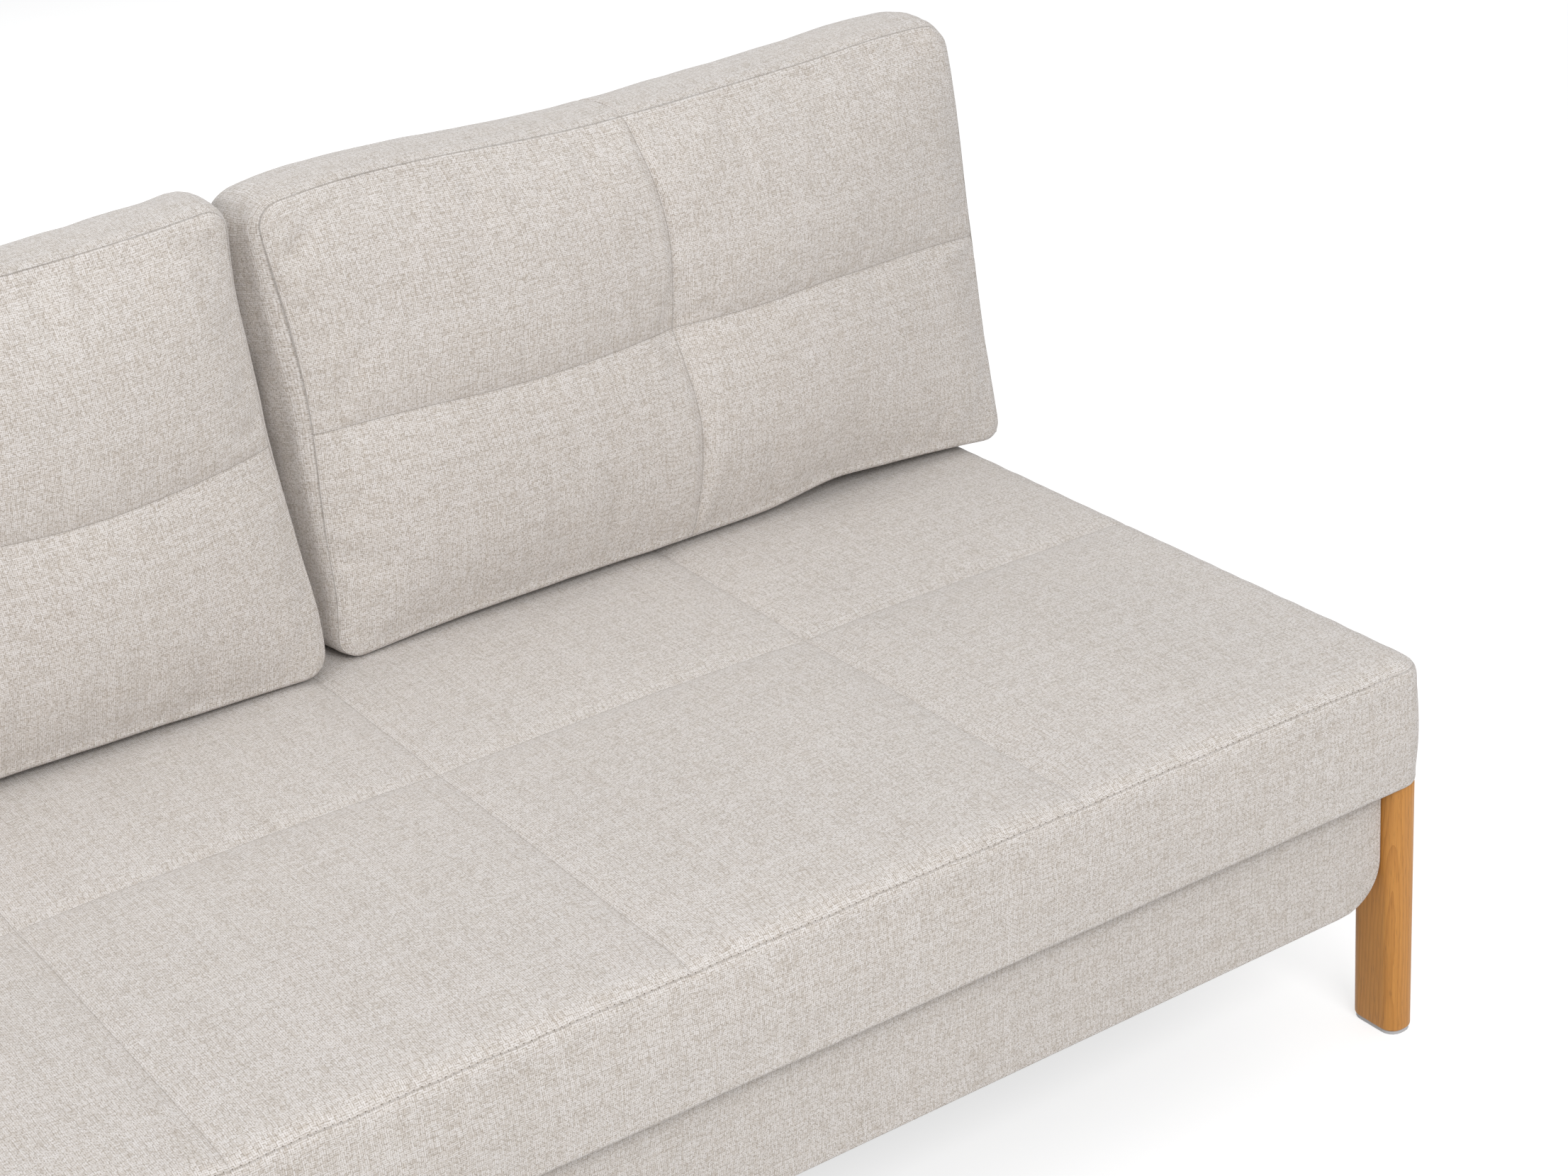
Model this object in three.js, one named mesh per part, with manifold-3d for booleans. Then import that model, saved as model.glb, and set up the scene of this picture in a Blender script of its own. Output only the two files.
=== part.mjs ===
// Click clack sofa bed: a base box on oak legs, a quilted seat that lifts on rear pivots,
// a ratcheted backrest that folds down flat behind it, and two loose back cushions.
// Units are millimetres. X runs along the sofa, its front faces -Y and +Z is up.
import * as THREE from 'three';
import { mergeVertices } from 'three/addons/utils/BufferGeometryUtils.js';
import Module from 'manifold-3d';

const wasm = await Module();
wasm.setup();

// Overall sizes
const sofaLength = 1800;
const seatDepth = 955;
const seatHeight = 440;
const seatPadThickness = 130;
const backTiltDegrees = 8;
const restGap = 0.3;

// Seat pad, quilted in panels
const seatPanelsAlong = 4;
const seatPanelsDeep = 2;
const seatPanelCrown = 16;
const seatSeamCrown = 6;
const seatTuftDip = 10;
const seatEdgeRadius = 25;
const seatHemRadius = 10;
const seatSkirtFront = 25;
const seatSkirtEnd = 24;
const seatPaddingThickness = 40;

// Pivot line of the seat and the backrest
const pivotBehindSeat = 45;
const pivotBelowSeatTop = 40;
const pivotRadius = 5;
const pivotClearance = 0.4;
const pivotHeadRadius = 9;
const pivotHeadHeight = 6;
const pivotCollarRadius = 11;

// Backrest pad
const backHeight = 440;
const backBelowPivot = 20;
const backFrontFromPivot = 40;
const backRearFromPivot = 34;
const backCrown = 35;
const backPlainHeight = 50;
const backEdgeRadius = 18;
const backHemRadius = 4;
const backSkirtEnd = 20;
const backSkirtTop = 18;
const backSkirtBottom = 15;
const backPaddingThickness = 20;
const backNotchWidth = 55;
const backNotchHeight = 45;

// Loose back cushions
const cushionWidth = 886;
const cushionHeight = 508;
const cushionThickness = 125;
const cushionFromPivot = 250;
const cushionPanels = 2;
const cushionFaceCrown = 22;
const cushionPanelCrown = 14;
const cushionSideCrown = 8;
const cushionTopCrown = 10;
const cushionSideDraw = 6;
const cushionTopDraw = 10;
const cushionCornerDraw = 8;
const cushionOverhang = 28;
const cushionSpacing = 30;
const leftCushionForward = 15;

// Base box
const baseHeight = 141;
const baseBelowSeat = 4;
const baseFrontInset = 22;
const baseRearInset = 22;
const baseCornerRadius = 55;
const coverThickness = 3;
const boardThickness = 18;
const floorThickness = 4;

// Legs and what fixes them
const legWidth = 37;
const legDepth = 66;
const legCornerRadius = 16;
const legInset = 5;
const legBelowSeat = 3;
const rearLegInset = 30;
const glideThickness = 4;
const glideInset = 1.5;
const studRadius = 4;
const studClearance = 0.4;
const legStudEmbed = 22;
const legStudFromEnd = 56;
const legStudBelowTop = 22;
const legStudSpacing = 38;
const legPlateThickness = 4;
const legPlateWidth = 24;
const legPlateHeight = 62;

// Steel tube frames, slats and cloths
const tubeWidth = 30;
const tubeHeight = 25;
const tubeWall = 1.5;
const frameToSkirt = 6;
const clothThickness = 1;
const clothAboveHem = 0.8;
const slatWidth = 53;
const slatThickness = 8;
const slatCount = 14;
const slatEndInset = 8;
const tapeWidth = 25;
const tapeThickness = 1.5;

// Hinge plates, ratchet and pawl
const plateThickness = 5;
const plateGap = 6.7;
const armHeight = 23;
const armReach = 255;
const armStudInset = 60;
const armStudSpacing = 130;
const armStudEmbed = 14;
const ratchetRootRadius = 28;
const ratchetTipRadius = 34;
const ratchetTeeth = 9;
const ratchetPitchDegrees = 12;
const eyeRadius = 22;
const backArmLength = 240;
const backFrameFromPivot = 5;
const bracketFromSeat = 3;
const bracketWebWidth = 38;
const bracketFlangeWidth = 87;
const bracketFlangeHeight = 90;
const bracketBelowTop = 16;
const bracketStudInset = 64;
const bracketStudSpacing = 44;
const bracketStudEmbed = 12;
const bracketHeadRadius = 8;
const bracketHeadHeight = 4;
const pawlPinBehind = 10;
const pawlPinAbove = 68;
const pawlPinRadius = 4;
const pawlPinProud = 1.2;
const pawlEyeRadius = 9;
const pawlTipClearance = 1;
const pawlTipWidth = 5;
const pawlTipBehind = 2;
const springThickness = 1.2;
const springLength = 42;

// Rubber stops under the seat's front rail
const stopRadius = 8;
const stopFromEnd = 240;

// Facets
const roundSides = 16;
const studSides = 10;
const cornerSteps = 5;
const edgeSteps = 3;
const hemSteps = 2;
const seatStepsAlong = 7;
const seatStepsDeep = 8;
const cushionStepsAcross = 9;
const cushionStepsUp = 6;
const cushionBorderRings = 3;
const backStepsAlong = 14;
const backStepsUp = 8;
const cutOverrun = 2;

// Sharpness of the quilting, from round to flat-topped
const roundPuff = 2;
const fullPuff = 3;
const panelPuff = 4;
const tuftPuff = 6;
const cornerPuff = 8;

// Places worked out from the sizes above, measured from the seat pad's front at floor level
const halfLength = sofaLength / 2;
const seatBottom = seatHeight - seatPadThickness;
const seatCrest = seatHeight + seatPanelCrown + seatSeamCrown;
const seatClothBottom = seatBottom + clothAboveHem;
const seatRailBottom = seatClothBottom + clothThickness + restGap;
const seatRailTop = seatRailBottom + tubeHeight;
const seatRailMiddle = seatRailBottom + tubeHeight / 2;
const seatRecessTop = seatHeight - seatPaddingThickness;
const seatRecessHalf = halfLength - seatSkirtEnd;
const seatFrameHalf = seatRecessHalf - frameToSkirt;
const seatFrameFront = seatSkirtFront + restGap;
const seatFrameRear = seatDepth - seatFrameFront;
const pivotY = seatDepth + pivotBehindSeat;
const pivotZ = seatHeight - pivotBelowSeatTop;
const backTilt = THREE.MathUtils.degToRad(backTiltDegrees);
const overallDepth = pivotY + backRearFromPivot * Math.cos(backTilt) + backHeight * Math.sin(backTilt);
const baseTop = seatBottom - baseBelowSeat;
const baseBottom = baseTop - baseHeight;
const baseHalf = halfLength - legInset - legWidth - restGap;
const baseRear = seatDepth - baseRearInset;
const boardInset = coverThickness + restGap;
const boardTop = baseTop - restGap;
const floorBottom = baseBottom + coverThickness + restGap;
const boardBottom = floorBottom + floorThickness + restGap;
const frontBoardRear = baseFrontInset + boardInset + boardThickness;
const rearBoardFront = baseRear - boardInset - boardThickness;
const endBoardOuter = baseHalf - boardInset;
const endBoardInner = endBoardOuter - boardThickness;
const seatArmInner = seatFrameHalf + restGap;
const seatArmOuter = seatArmInner + plateThickness;
const backArmOuter = seatArmInner - plateGap;
const backArmInner = backArmOuter - plateThickness;
const bracketInner = seatArmOuter + plateGap;
const bracketOuter = bracketInner + plateThickness;
const backFrameHalf = backArmInner - restGap;
const backFrameRear = backFrameFromPivot + tubeHeight;
const backRailBottom = backNotchHeight + frameToSkirt / 2;
const backRailTop = backHeight - backSkirtTop - frameToSkirt / 2;
const backRecessHalf = halfLength - backSkirtEnd;
const holeRadius = pivotRadius + pivotClearance;
const studHoleRadius = studRadius + studClearance;

// Finishes
const oakColour = 0xc08a49;
const fabricColour = 0xd0c7bc;
const clothColour = 0x2b2b2d;
const boardColour = 0xc9a878;
const birchColour = 0xd9b98a;
const foamColour = 0xe9e2c8;
const frameColour = 0x26272a;
const zincColour = 0xb5b9bd;
const glideColour = 0xc9c9c6;
const rubberColour = 0x1d1d1e;

function finish(color, roughness, metalness) {
  return new THREE.MeshStandardMaterial({ color, roughness, metalness });
}

const oak = () => finish(oakColour, 0.45, 0);
const upholstery = () => finish(fabricColour, 0.95, 0);
const dustCloth = () => finish(clothColour, 0.9, 0);
const board = () => finish(boardColour, 0.7, 0);
const birch = () => finish(birchColour, 0.5, 0);
const foam = () => finish(foamColour, 1, 0);
const paintedSteel = () => finish(frameColour, 0.5, 0.6);
const zincSteel = () => finish(zincColour, 0.35, 1);
const greyPlastic = () => finish(glideColour, 0.6, 0);
const blackRubber = () => finish(rubberColour, 0.9, 0);

const sofa = new THREE.Group();
const base = new THREE.Group();
const seat = new THREE.Group();
const back = new THREE.Group();
sofa.add(base, seat, back);
sofa.position.set(-(cushionOverhang + cushionSideCrown) / 2, -overallDepth / 2, 0);
back.position.set(0, pivotY, pivotZ);
back.rotation.x = -backTilt;

const ends = [['left', -1], ['right', 1]];

function addPiece(parent, name, geometry, material) {
  const piece = new THREE.Mesh(geometry, material);
  piece.name = name;
  parent.add(piece);
}

const point = (x, y) => new THREE.Vector2(x, y);

// Solid block between two corners
function block(x0, x1, y0, y1, z0, z1) {
  const geometry = new THREE.BoxGeometry(Math.abs(x1 - x0), Math.abs(y1 - y0), Math.abs(z1 - z0));
  return geometry.translate((x0 + x1) / 2, (y0 + y1) / 2, (z0 + z1) / 2);
}

function extrude(shape, length) {
  const options = { depth: length, bevelEnabled: false, curveSegments: cornerSteps };
  return new THREE.ExtrudeGeometry(shape, options);
}

// Plate drawn in Y and Z, as thick as the stretch of X between two places
function plateAlongX(shape, x0, x1) {
  const turn = new THREE.Matrix4().makeBasis(
    new THREE.Vector3(0, 1, 0), new THREE.Vector3(0, 0, 1), new THREE.Vector3(1, 0, 0));
  return extrude(shape, Math.abs(x1 - x0)).applyMatrix4(turn).translate(Math.min(x0, x1), 0, 0);
}

// Panel drawn in X and Z, as thick as the stretch of Y between two places
function panelAlongY(shape, front, rear) {
  const turn = new THREE.Matrix4().makeBasis(
    new THREE.Vector3(1, 0, 0), new THREE.Vector3(0, 0, 1), new THREE.Vector3(0, -1, 0));
  return extrude(shape, rear - front).applyMatrix4(turn).translate(0, rear, 0);
}

// Round bars along X, Y and Z
function barAlongX(radius, x0, x1, y, z, sideCount) {
  const geometry = new THREE.CylinderGeometry(radius, radius, Math.abs(x1 - x0), sideCount);
  return geometry.rotateZ(Math.PI / 2).translate((x0 + x1) / 2, y, z);
}

function barAlongY(radius, y0, y1, x, z, sideCount) {
  const geometry = new THREE.CylinderGeometry(radius, radius, Math.abs(y1 - y0), sideCount);
  return geometry.translate(x, (y0 + y1) / 2, z);
}

function barAlongZ(radius, z0, z1, x, y, sideCount) {
  const geometry = new THREE.CylinderGeometry(radius, radius, z1 - z0, sideCount);
  return geometry.rotateX(Math.PI / 2).translate(x, y, (z0 + z1) / 2);
}

// Points of an arc, with both of its ends
function arcPoints(centreX, centreY, radius, from, to, steps) {
  const points = [];
  for (let step = 0; step <= steps; step++) {
    const angle = from + (to - from) * step / steps;
    points.push(point(centreX + radius * Math.cos(angle), centreY + radius * Math.sin(angle)));
  }
  return points;
}

function roundHole(radius, centreX, centreY, sideCount) {
  return new THREE.Path(arcPoints(centreX, centreY, radius, 0, Math.PI * 2, sideCount).slice(1));
}

function toSolid(geometry) {
  const plain = geometry.clone();
  plain.deleteAttribute('normal');
  plain.deleteAttribute('uv');
  const merged = mergeVertices(plain);
  const triVerts = new Uint32Array(merged.index.array);
  const vertProperties = new Float32Array(merged.attributes.position.array);
  return new wasm.Manifold(new wasm.Mesh({ numProp: 3, vertProperties, triVerts }));
}

function fromSolid(solid) {
  const mesh = solid.getMesh();
  const geometry = new THREE.BufferGeometry();
  geometry.setAttribute('position', new THREE.BufferAttribute(mesh.vertProperties, 3));
  geometry.setIndex(new THREE.BufferAttribute(mesh.triVerts, 1));
  geometry.computeVertexNormals();
  return geometry;
}

function cut(geometry, tools) {
  return fromSolid(tools.reduce((solid, tool) => solid.subtract(toSolid(tool)), toSolid(geometry)));
}

function join(geometries) {
  return fromSolid(geometries.map(toSolid).reduce((whole, solid) => whole.add(solid)));
}

// Share of full height inside one quilted panel, from 0 on its seams to 1 in its middle
function puff(position, panels, sharpness) {
  const local = ((position + 1) / 2 * panels) % 1 * 2 - 1;
  return 1 - Math.pow(Math.abs(local), sharpness);
}

// Lines from -1 to 1, closer together beside each seam
function seamLines(panels, steps) {
  const lines = [-1];
  for (let panel = 0; panel < panels; panel++) {
    for (let step = 1; step < steps; step++) {
      const within = (1 - Math.cos(Math.PI * step / steps)) / 2;
      lines.push((panel + within) / panels * 2 - 1);
    }
    lines.push((panel + 1) / panels * 2 - 1);
  }
  return lines;
}

// Closed padded solid: a face sheet, rings round its edge and a back sheet
function paddedSolid(acrossLines, upLines, facePoint, ringPoints, backPoint) {
  const points = [];
  const triangles = [];
  const columns = acrossLines.length - 1;
  const rows = upLines.length - 1;
  const rim = [];
  for (let i = 0; i < columns; i++) rim.push([i, 0]);
  for (let j = 0; j < rows; j++) rim.push([columns, j]);
  for (let i = columns; i > 0; i--) rim.push([i, rows]);
  for (let j = rows; j > 0; j--) rim.push([0, j]);

  function quad(a, b, c, d) {
    triangles.push(a, b, c, a, c, d);
  }

  function sheet(pointAt, flipped) {
    const start = points.length;
    for (const up of upLines) {
      for (const across of acrossLines) points.push(pointAt(across, up));
    }
    for (let j = 0; j < rows; j++) {
      for (let i = 0; i < columns; i++) {
        const corner = start + j * (columns + 1) + i;
        const above = corner + columns + 1;
        if (flipped) quad(corner, above, above + 1, corner + 1);
        else quad(corner, corner + 1, above + 1, above);
      }
    }
    return rim.map(([i, j]) => start + j * (columns + 1) + i);
  }

  function bridge(outer, inner) {
    for (let k = 0; k < rim.length; k++) {
      const next = (k + 1) % rim.length;
      quad(outer[k], inner[k], inner[next], outer[next]);
    }
  }

  let previous = sheet(facePoint, false);
  for (const ringPoint of ringPoints) {
    const start = points.length;
    const current = rim.map((place, k) => start + k);
    for (const [i, j] of rim) points.push(ringPoint(acrossLines[i], upLines[j]));
    bridge(previous, current);
    previous = current;
  }
  bridge(previous, sheet(backPoint, true));
  const geometry = new THREE.BufferGeometry().setFromPoints(points);
  geometry.setIndex(triangles);
  geometry.computeVertexNormals();
  return geometry;
}

// Outward direction of a rim place in the plane of its sheet
function rimDirection(across, up) {
  const x = Math.abs(across) === 1 ? across : 0;
  const y = Math.abs(up) === 1 ? up : 0;
  return point(x, y).normalize();
}

// Steps round a padded edge: how far out of the face sheet's rim, and how far below it
function edgeProfile(thickness, faceRadius, hemRadius) {
  const steps = [];
  for (let step = 1; step <= edgeSteps; step++) {
    const angle = Math.PI / 2 * step / edgeSteps;
    steps.push({ out: faceRadius * Math.sin(angle), down: faceRadius * (1 - Math.cos(angle)) });
  }
  for (let step = 0; step < hemSteps; step++) {
    const angle = Math.PI / 2 * step / hemSteps;
    const down = thickness - hemRadius + hemRadius * Math.sin(angle);
    steps.push({ out: faceRadius - hemRadius * (1 - Math.cos(angle)), down });
  }
  return steps;
}

// Seat pad: quilted top, rounded edges, a recess below for its foam and frame, and arm slots
function seatPadTop(across, deep) {
  const panel = puff(across, seatPanelsAlong, panelPuff) * puff(deep, seatPanelsDeep, panelPuff);
  const flatAcross = puff(across, seatPanelsAlong, roundPuff);
  const flatDeep = puff(deep, seatPanelsDeep, roundPuff);
  const seam = 1 - (1 - flatAcross) * (1 - flatDeep);
  const nearAcross = 1 - puff(across, seatPanelsAlong, tuftPuff);
  const nearDeep = 1 - puff(deep, seatPanelsDeep, tuftPuff);
  const inside = Math.abs(across) < 1 && Math.abs(deep) < 1;
  const tuft = inside ? nearAcross * nearDeep : 0;
  return seatHeight + seatPanelCrown * panel + seatSeamCrown * seam - seatTuftDip * tuft;
}

function seatPad() {
  const halfX = halfLength - seatEdgeRadius;
  const halfY = seatDepth / 2 - seatEdgeRadius;
  const place = (across, deep, out, z) => {
    const direction = rimDirection(across, deep);
    const x = across * halfX + direction.x * out;
    return new THREE.Vector3(x, seatDepth / 2 + deep * halfY + direction.y * out, z);
  };
  const profile = edgeProfile(seatPadThickness, seatEdgeRadius, seatHemRadius);
  const rings = profile.map(({ out, down }) => (across, deep) => {
    const scallop = (seatPadTop(across, deep) - seatHeight) * (1 - down / seatPadThickness);
    return place(across, deep, out, seatHeight - down + scallop);
  });
  const pad = paddedSolid(
    seamLines(seatPanelsAlong, seatStepsAlong), seamLines(seatPanelsDeep, seatStepsDeep),
    (across, deep) => place(across, deep, 0, seatPadTop(across, deep)), rings,
    (across, deep) => place(across, deep, seatEdgeRadius - seatHemRadius, seatBottom));
  const recess = block(-seatRecessHalf, seatRecessHalf, seatSkirtFront, seatDepth - seatSkirtFront,
    seatBottom - cutOverrun, seatRecessTop);
  const slots = ends.map(([, side]) => block(side * seatFrameHalf, side * seatRecessHalf,
    seatDepth - seatSkirtFront - cutOverrun, seatDepth + cutOverrun, seatBottom - cutOverrun, seatRecessTop));
  return cut(pad, [recess, ...slots]);
}
addPiece(seat, 'seat_pad', seatPad(), upholstery());

// Dust cloth stapled under the seat frame
const seatCloth = block(-seatRecessHalf + restGap, seatRecessHalf - restGap, seatFrameFront, seatFrameRear,
  seatClothBottom, seatClothBottom + clothThickness);
addPiece(seat, 'seat_underside_cloth', seatCloth, dustCloth());

// Rectangular steel tube, open at both ends
function tubeShape(width, height) {
  const outline = (x, y) => [point(-x, -y), point(x, -y), point(x, y), point(-x, y)];
  const shape = new THREE.Shape(outline(width / 2, height / 2));
  shape.holes.push(new THREE.Path(outline(width / 2 - tubeWall, height / 2 - tubeWall)));
  return shape;
}

// Seat frame: front and rear rails along the sofa, with two side rails and a centre rail between
function seatStudPlaces() {
  const rearmost = seatFrameRear - armStudInset;
  return [rearmost, rearmost - armStudSpacing];
}

function seatFrame() {
  const long = tubeShape(tubeWidth, tubeHeight);
  const inset = tubeWidth / 2;
  for (const [name, y] of [['front', seatFrameFront + inset], ['rear', seatFrameRear - inset]]) {
    const rail = plateAlongX(long, -seatFrameHalf, seatFrameHalf).translate(0, y, seatRailMiddle);
    addPiece(seat, `seat_${name}_rail`, rail, paintedSteel());
  }
  const start = seatFrameFront + tubeWidth + restGap;
  const end = seatFrameRear - tubeWidth - restGap;
  const crossRail = (x) => panelAlongY(long, start, end).translate(x, 0, seatRailMiddle);
  addPiece(seat, 'seat_centre_rail', crossRail(0), paintedSteel());
  for (const [endName, side] of ends) {
    const middle = side * (seatFrameHalf - tubeWidth / 2);
    const holes = seatStudPlaces().map((y) => barAlongX(
      studHoleRadius, middle, side * (seatFrameHalf + cutOverrun), y, seatRailMiddle, studSides));
    addPiece(seat, `seat_${endName}_rail`, cut(crossRail(middle), holes), paintedSteel());
  }
}
seatFrame();

// Slats stapled to two webbing tapes; along is how they lie, and level is where their tapes are
function slatMat(half, start, end, slatBlock) {
  const pitch = half * 2 / slatCount;
  const pieces = [];
  for (let i = 0; i < slatCount; i++) {
    const x = -half + pitch * (i + 1 / 2);
    pieces.push(slatBlock(x - slatWidth / 2, x + slatWidth / 2, start, end, 0, slatThickness));
  }
  const tapeReach = half - pitch / 2 + slatWidth / 4;
  const low = slatThickness - tapeThickness / 2;
  for (const middle of [start + (end - start) / 4, end - (end - start) / 4]) {
    pieces.push(slatBlock(-tapeReach, tapeReach, middle - tapeWidth / 2, middle + tapeWidth / 2,
      low, low + tapeThickness));
  }
  return join(pieces);
}

const seatSlatBottom = seatRailTop + restGap;
const seatMat = slatMat(seatFrameHalf, seatFrameFront + slatEndInset, seatFrameRear - slatEndInset,
  (x0, x1, from, to, low, high) => block(x0, x1, from, to, seatSlatBottom + low, seatSlatBottom + high));
addPiece(seat, 'seat_slats', seatMat, birch());

// Foam core between the slats and the seat pad
const seatCoreHalf = seatFrameHalf - restGap;
const seatCoreBottom = seatSlatBottom + slatThickness + tapeThickness / 2 + restGap;
const seatCore = block(-seatCoreHalf, seatCoreHalf, seatFrameFront, seatFrameRear,
  seatCoreBottom, seatRecessTop - restGap);
addPiece(seat, 'seat_foam_core', seatCore, foam());

// Seat arm: flat steel from the side rail to the pivot, with ratchet teeth round its eye
function ratchetPoints() {
  const points = [];
  const first = 90 - backTiltDegrees - (ratchetTeeth - 1) * ratchetPitchDegrees;
  for (let tooth = 0; tooth < ratchetTeeth; tooth++) {
    const root = THREE.MathUtils.degToRad(first + (tooth - 1 / 2) * ratchetPitchDegrees);
    const crest = THREE.MathUtils.degToRad(first + tooth * ratchetPitchDegrees);
    points.push(
      point(pivotY + ratchetRootRadius * Math.cos(root), pivotZ + ratchetRootRadius * Math.sin(root)),
      point(pivotY + ratchetTipRadius * Math.cos(crest), pivotZ + ratchetTipRadius * Math.sin(crest)));
  }
  return points;
}

function seatArm(side) {
  const bottom = seatRailMiddle - armHeight / 2;
  const top = seatRailMiddle + armHeight / 2;
  const rear = seatDepth - seatSkirtFront;
  const shape = new THREE.Shape([
    point(rear - armReach, bottom),
    point(rear, bottom),
    point(pivotY, pivotZ - ratchetRootRadius),
    ...ratchetPoints(),
    point(pivotY - ratchetRootRadius, pivotZ),
    point(rear - armHeight / 2, top),
    point(rear - armReach, top),
  ]);
  shape.holes.push(roundHole(holeRadius, pivotY, pivotZ, roundSides));
  const plate = plateAlongX(shape, side * seatArmInner, side * seatArmOuter);
  const studs = seatStudPlaces().map((y) => barAlongX(studRadius, side * (seatArmInner - armStudEmbed),
    side * (seatArmInner + plateThickness / 2), y, seatRailMiddle, studSides));
  return join([plate, ...studs]);
}
for (const [endName, side] of ends) addPiece(seat, `${endName}_seat_arm`, seatArm(side), zincSteel());

// Backrest pieces are drawn in the backrest's own frame: Y behind the pivot, Z up its slope
function backPadBulge(across, up) {
  const rise = up - backPlainHeight;
  if (rise <= 0) return 0;
  const local = rise / (backHeight - backPlainHeight) * 2 - 1;
  return backCrown * (1 - Math.pow(Math.abs(local), fullPuff)) * puff(across, 1, panelPuff);
}

function backPad() {
  const halfX = halfLength - backEdgeRadius;
  const halfZ = (backHeight + backBelowPivot) / 2 - backEdgeRadius;
  const middleZ = (backHeight - backBelowPivot) / 2;
  const thickness = backFrontFromPivot + backRearFromPivot;
  const place = (across, up, out, behind) => {
    const direction = rimDirection(across, up);
    const x = across * halfX + direction.x * out;
    return new THREE.Vector3(x, behind, middleZ + up * halfZ + direction.y * out);
  };
  const rings = edgeProfile(thickness, backEdgeRadius, backHemRadius).map(
    ({ out, down }) => (across, up) => place(across, up, out, down - backFrontFromPivot));
  const front = (across, up) =>
    place(across, up, 0, -backFrontFromPivot - backPadBulge(across, middleZ + up * halfZ));
  const rear = (across, up) => place(across, up, backEdgeRadius - backHemRadius, backRearFromPivot);
  const pad = paddedSolid(seamLines(1, backStepsAlong), seamLines(1, backStepsUp), front, rings, rear);
  const beyondRear = backRearFromPivot + cutOverrun;
  const recess = block(-backRecessHalf, backRecessHalf, backPaddingThickness - backFrontFromPivot, beyondRear,
    backSkirtBottom - backBelowPivot, backHeight - backSkirtTop);
  const notches = ends.map(([, side]) => block(
    side * (halfLength - backNotchWidth), side * (halfLength + cutOverrun),
    -backFrontFromPivot - backCrown, beyondRear, -backBelowPivot - cutOverrun, backNotchHeight));
  return cut(pad, [recess, ...notches]);
}
addPiece(back, 'back_pad', backPad(), upholstery());

const backStudPlaces = [backArmLength - armStudInset, backArmLength - armStudInset - tubeWidth * 2];

function backFrame() {
  const middle = backFrameFromPivot + tubeHeight / 2;
  const long = tubeShape(tubeHeight, tubeWidth);
  const inset = tubeWidth / 2;
  for (const [name, z] of [['bottom', backRailBottom + inset], ['top', backRailTop - inset]]) {
    const rail = plateAlongX(long, -backFrameHalf, backFrameHalf).translate(0, middle, z);
    addPiece(back, `back_${name}_rail`, rail, paintedSteel());
  }
  const start = backRailBottom + tubeWidth + restGap;
  const length = backRailTop - tubeWidth - restGap - start;
  const upright = (x) => extrude(tubeShape(tubeWidth, tubeHeight), length).translate(x, middle, start);
  addPiece(back, 'back_centre_rail', upright(0), paintedSteel());
  for (const [endName, side] of ends) {
    const x = side * (backFrameHalf - tubeWidth / 2);
    const holes = backStudPlaces.map((z) => barAlongX(
      studHoleRadius, x, side * (backFrameHalf + cutOverrun), middle, z, studSides));
    addPiece(back, `back_${endName}_rail`, cut(upright(x), holes), paintedSteel());
  }
}
backFrame();

const backSlatRear = backFrameFromPivot - restGap;
const backMat = slatMat(backFrameHalf - tubeWidth, backRailBottom + slatEndInset, backRailTop - slatEndInset,
  (x0, x1, from, to, low, high) => block(x0, x1, backSlatRear - high, backSlatRear - low, from, to));
addPiece(back, 'back_slats', backMat, birch());

const backCoreHalf = halfLength - backNotchWidth - restGap;
const backCoreRear = backSlatRear - slatThickness - tapeThickness / 2 - restGap;
const backCoreFront = backPaddingThickness - backFrontFromPivot + restGap;
const backCore = block(-backCoreHalf, backCoreHalf, backCoreFront, backCoreRear,
  backSkirtBottom - backBelowPivot + restGap, backHeight - backSkirtTop - restGap);
addPiece(back, 'back_foam_core', backCore, foam());

// Rear cloth stapled over the back of the frame, clear of the hinge corners
function backCloth() {
  const half = backRecessHalf - restGap;
  const notch = backCoreHalf;
  const bottom = backSkirtBottom - backBelowPivot + restGap;
  const top = backHeight - backSkirtTop - restGap;
  const shape = new THREE.Shape([
    point(-notch, bottom), point(notch, bottom), point(notch, backRailBottom), point(half, backRailBottom),
    point(half, top), point(-half, top), point(-half, backRailBottom), point(-notch, backRailBottom),
  ]);
  return panelAlongY(shape, backFrameRear + restGap, backFrameRear + restGap + clothThickness);
}
addPiece(back, 'back_rear_cloth', backCloth(), dustCloth());

// Back arm: flat steel on the frame's end, with the pawl's pin standing out of it
function backArm(side) {
  const shape = new THREE.Shape([
    point(backFrameFromPivot, backArmLength),
    point(backFrameFromPivot, pawlPinAbove),
    ...arcPoints(0, 0, eyeRadius, Math.PI, Math.PI * 2, cornerSteps * 2),
    point(backFrameRear, pawlPinAbove),
    point(backFrameRear, backArmLength),
  ]);
  shape.holes.push(roundHole(holeRadius, 0, 0, roundSides));
  const plate = plateAlongX(shape, side * backArmInner, side * backArmOuter);
  const middle = side * (backArmInner + plateThickness / 2);
  const studs = backStudPlaces.map((z) => barAlongX(studRadius, side * (backArmInner - armStudEmbed), middle,
    backFrameFromPivot + tubeHeight / 2, z, studSides));
  const pin = barAlongX(pawlPinRadius, middle, side * (seatArmOuter + pawlPinProud),
    pawlPinBehind, pawlPinAbove, roundSides);
  return join([plate, pin, ...studs]);
}

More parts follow.
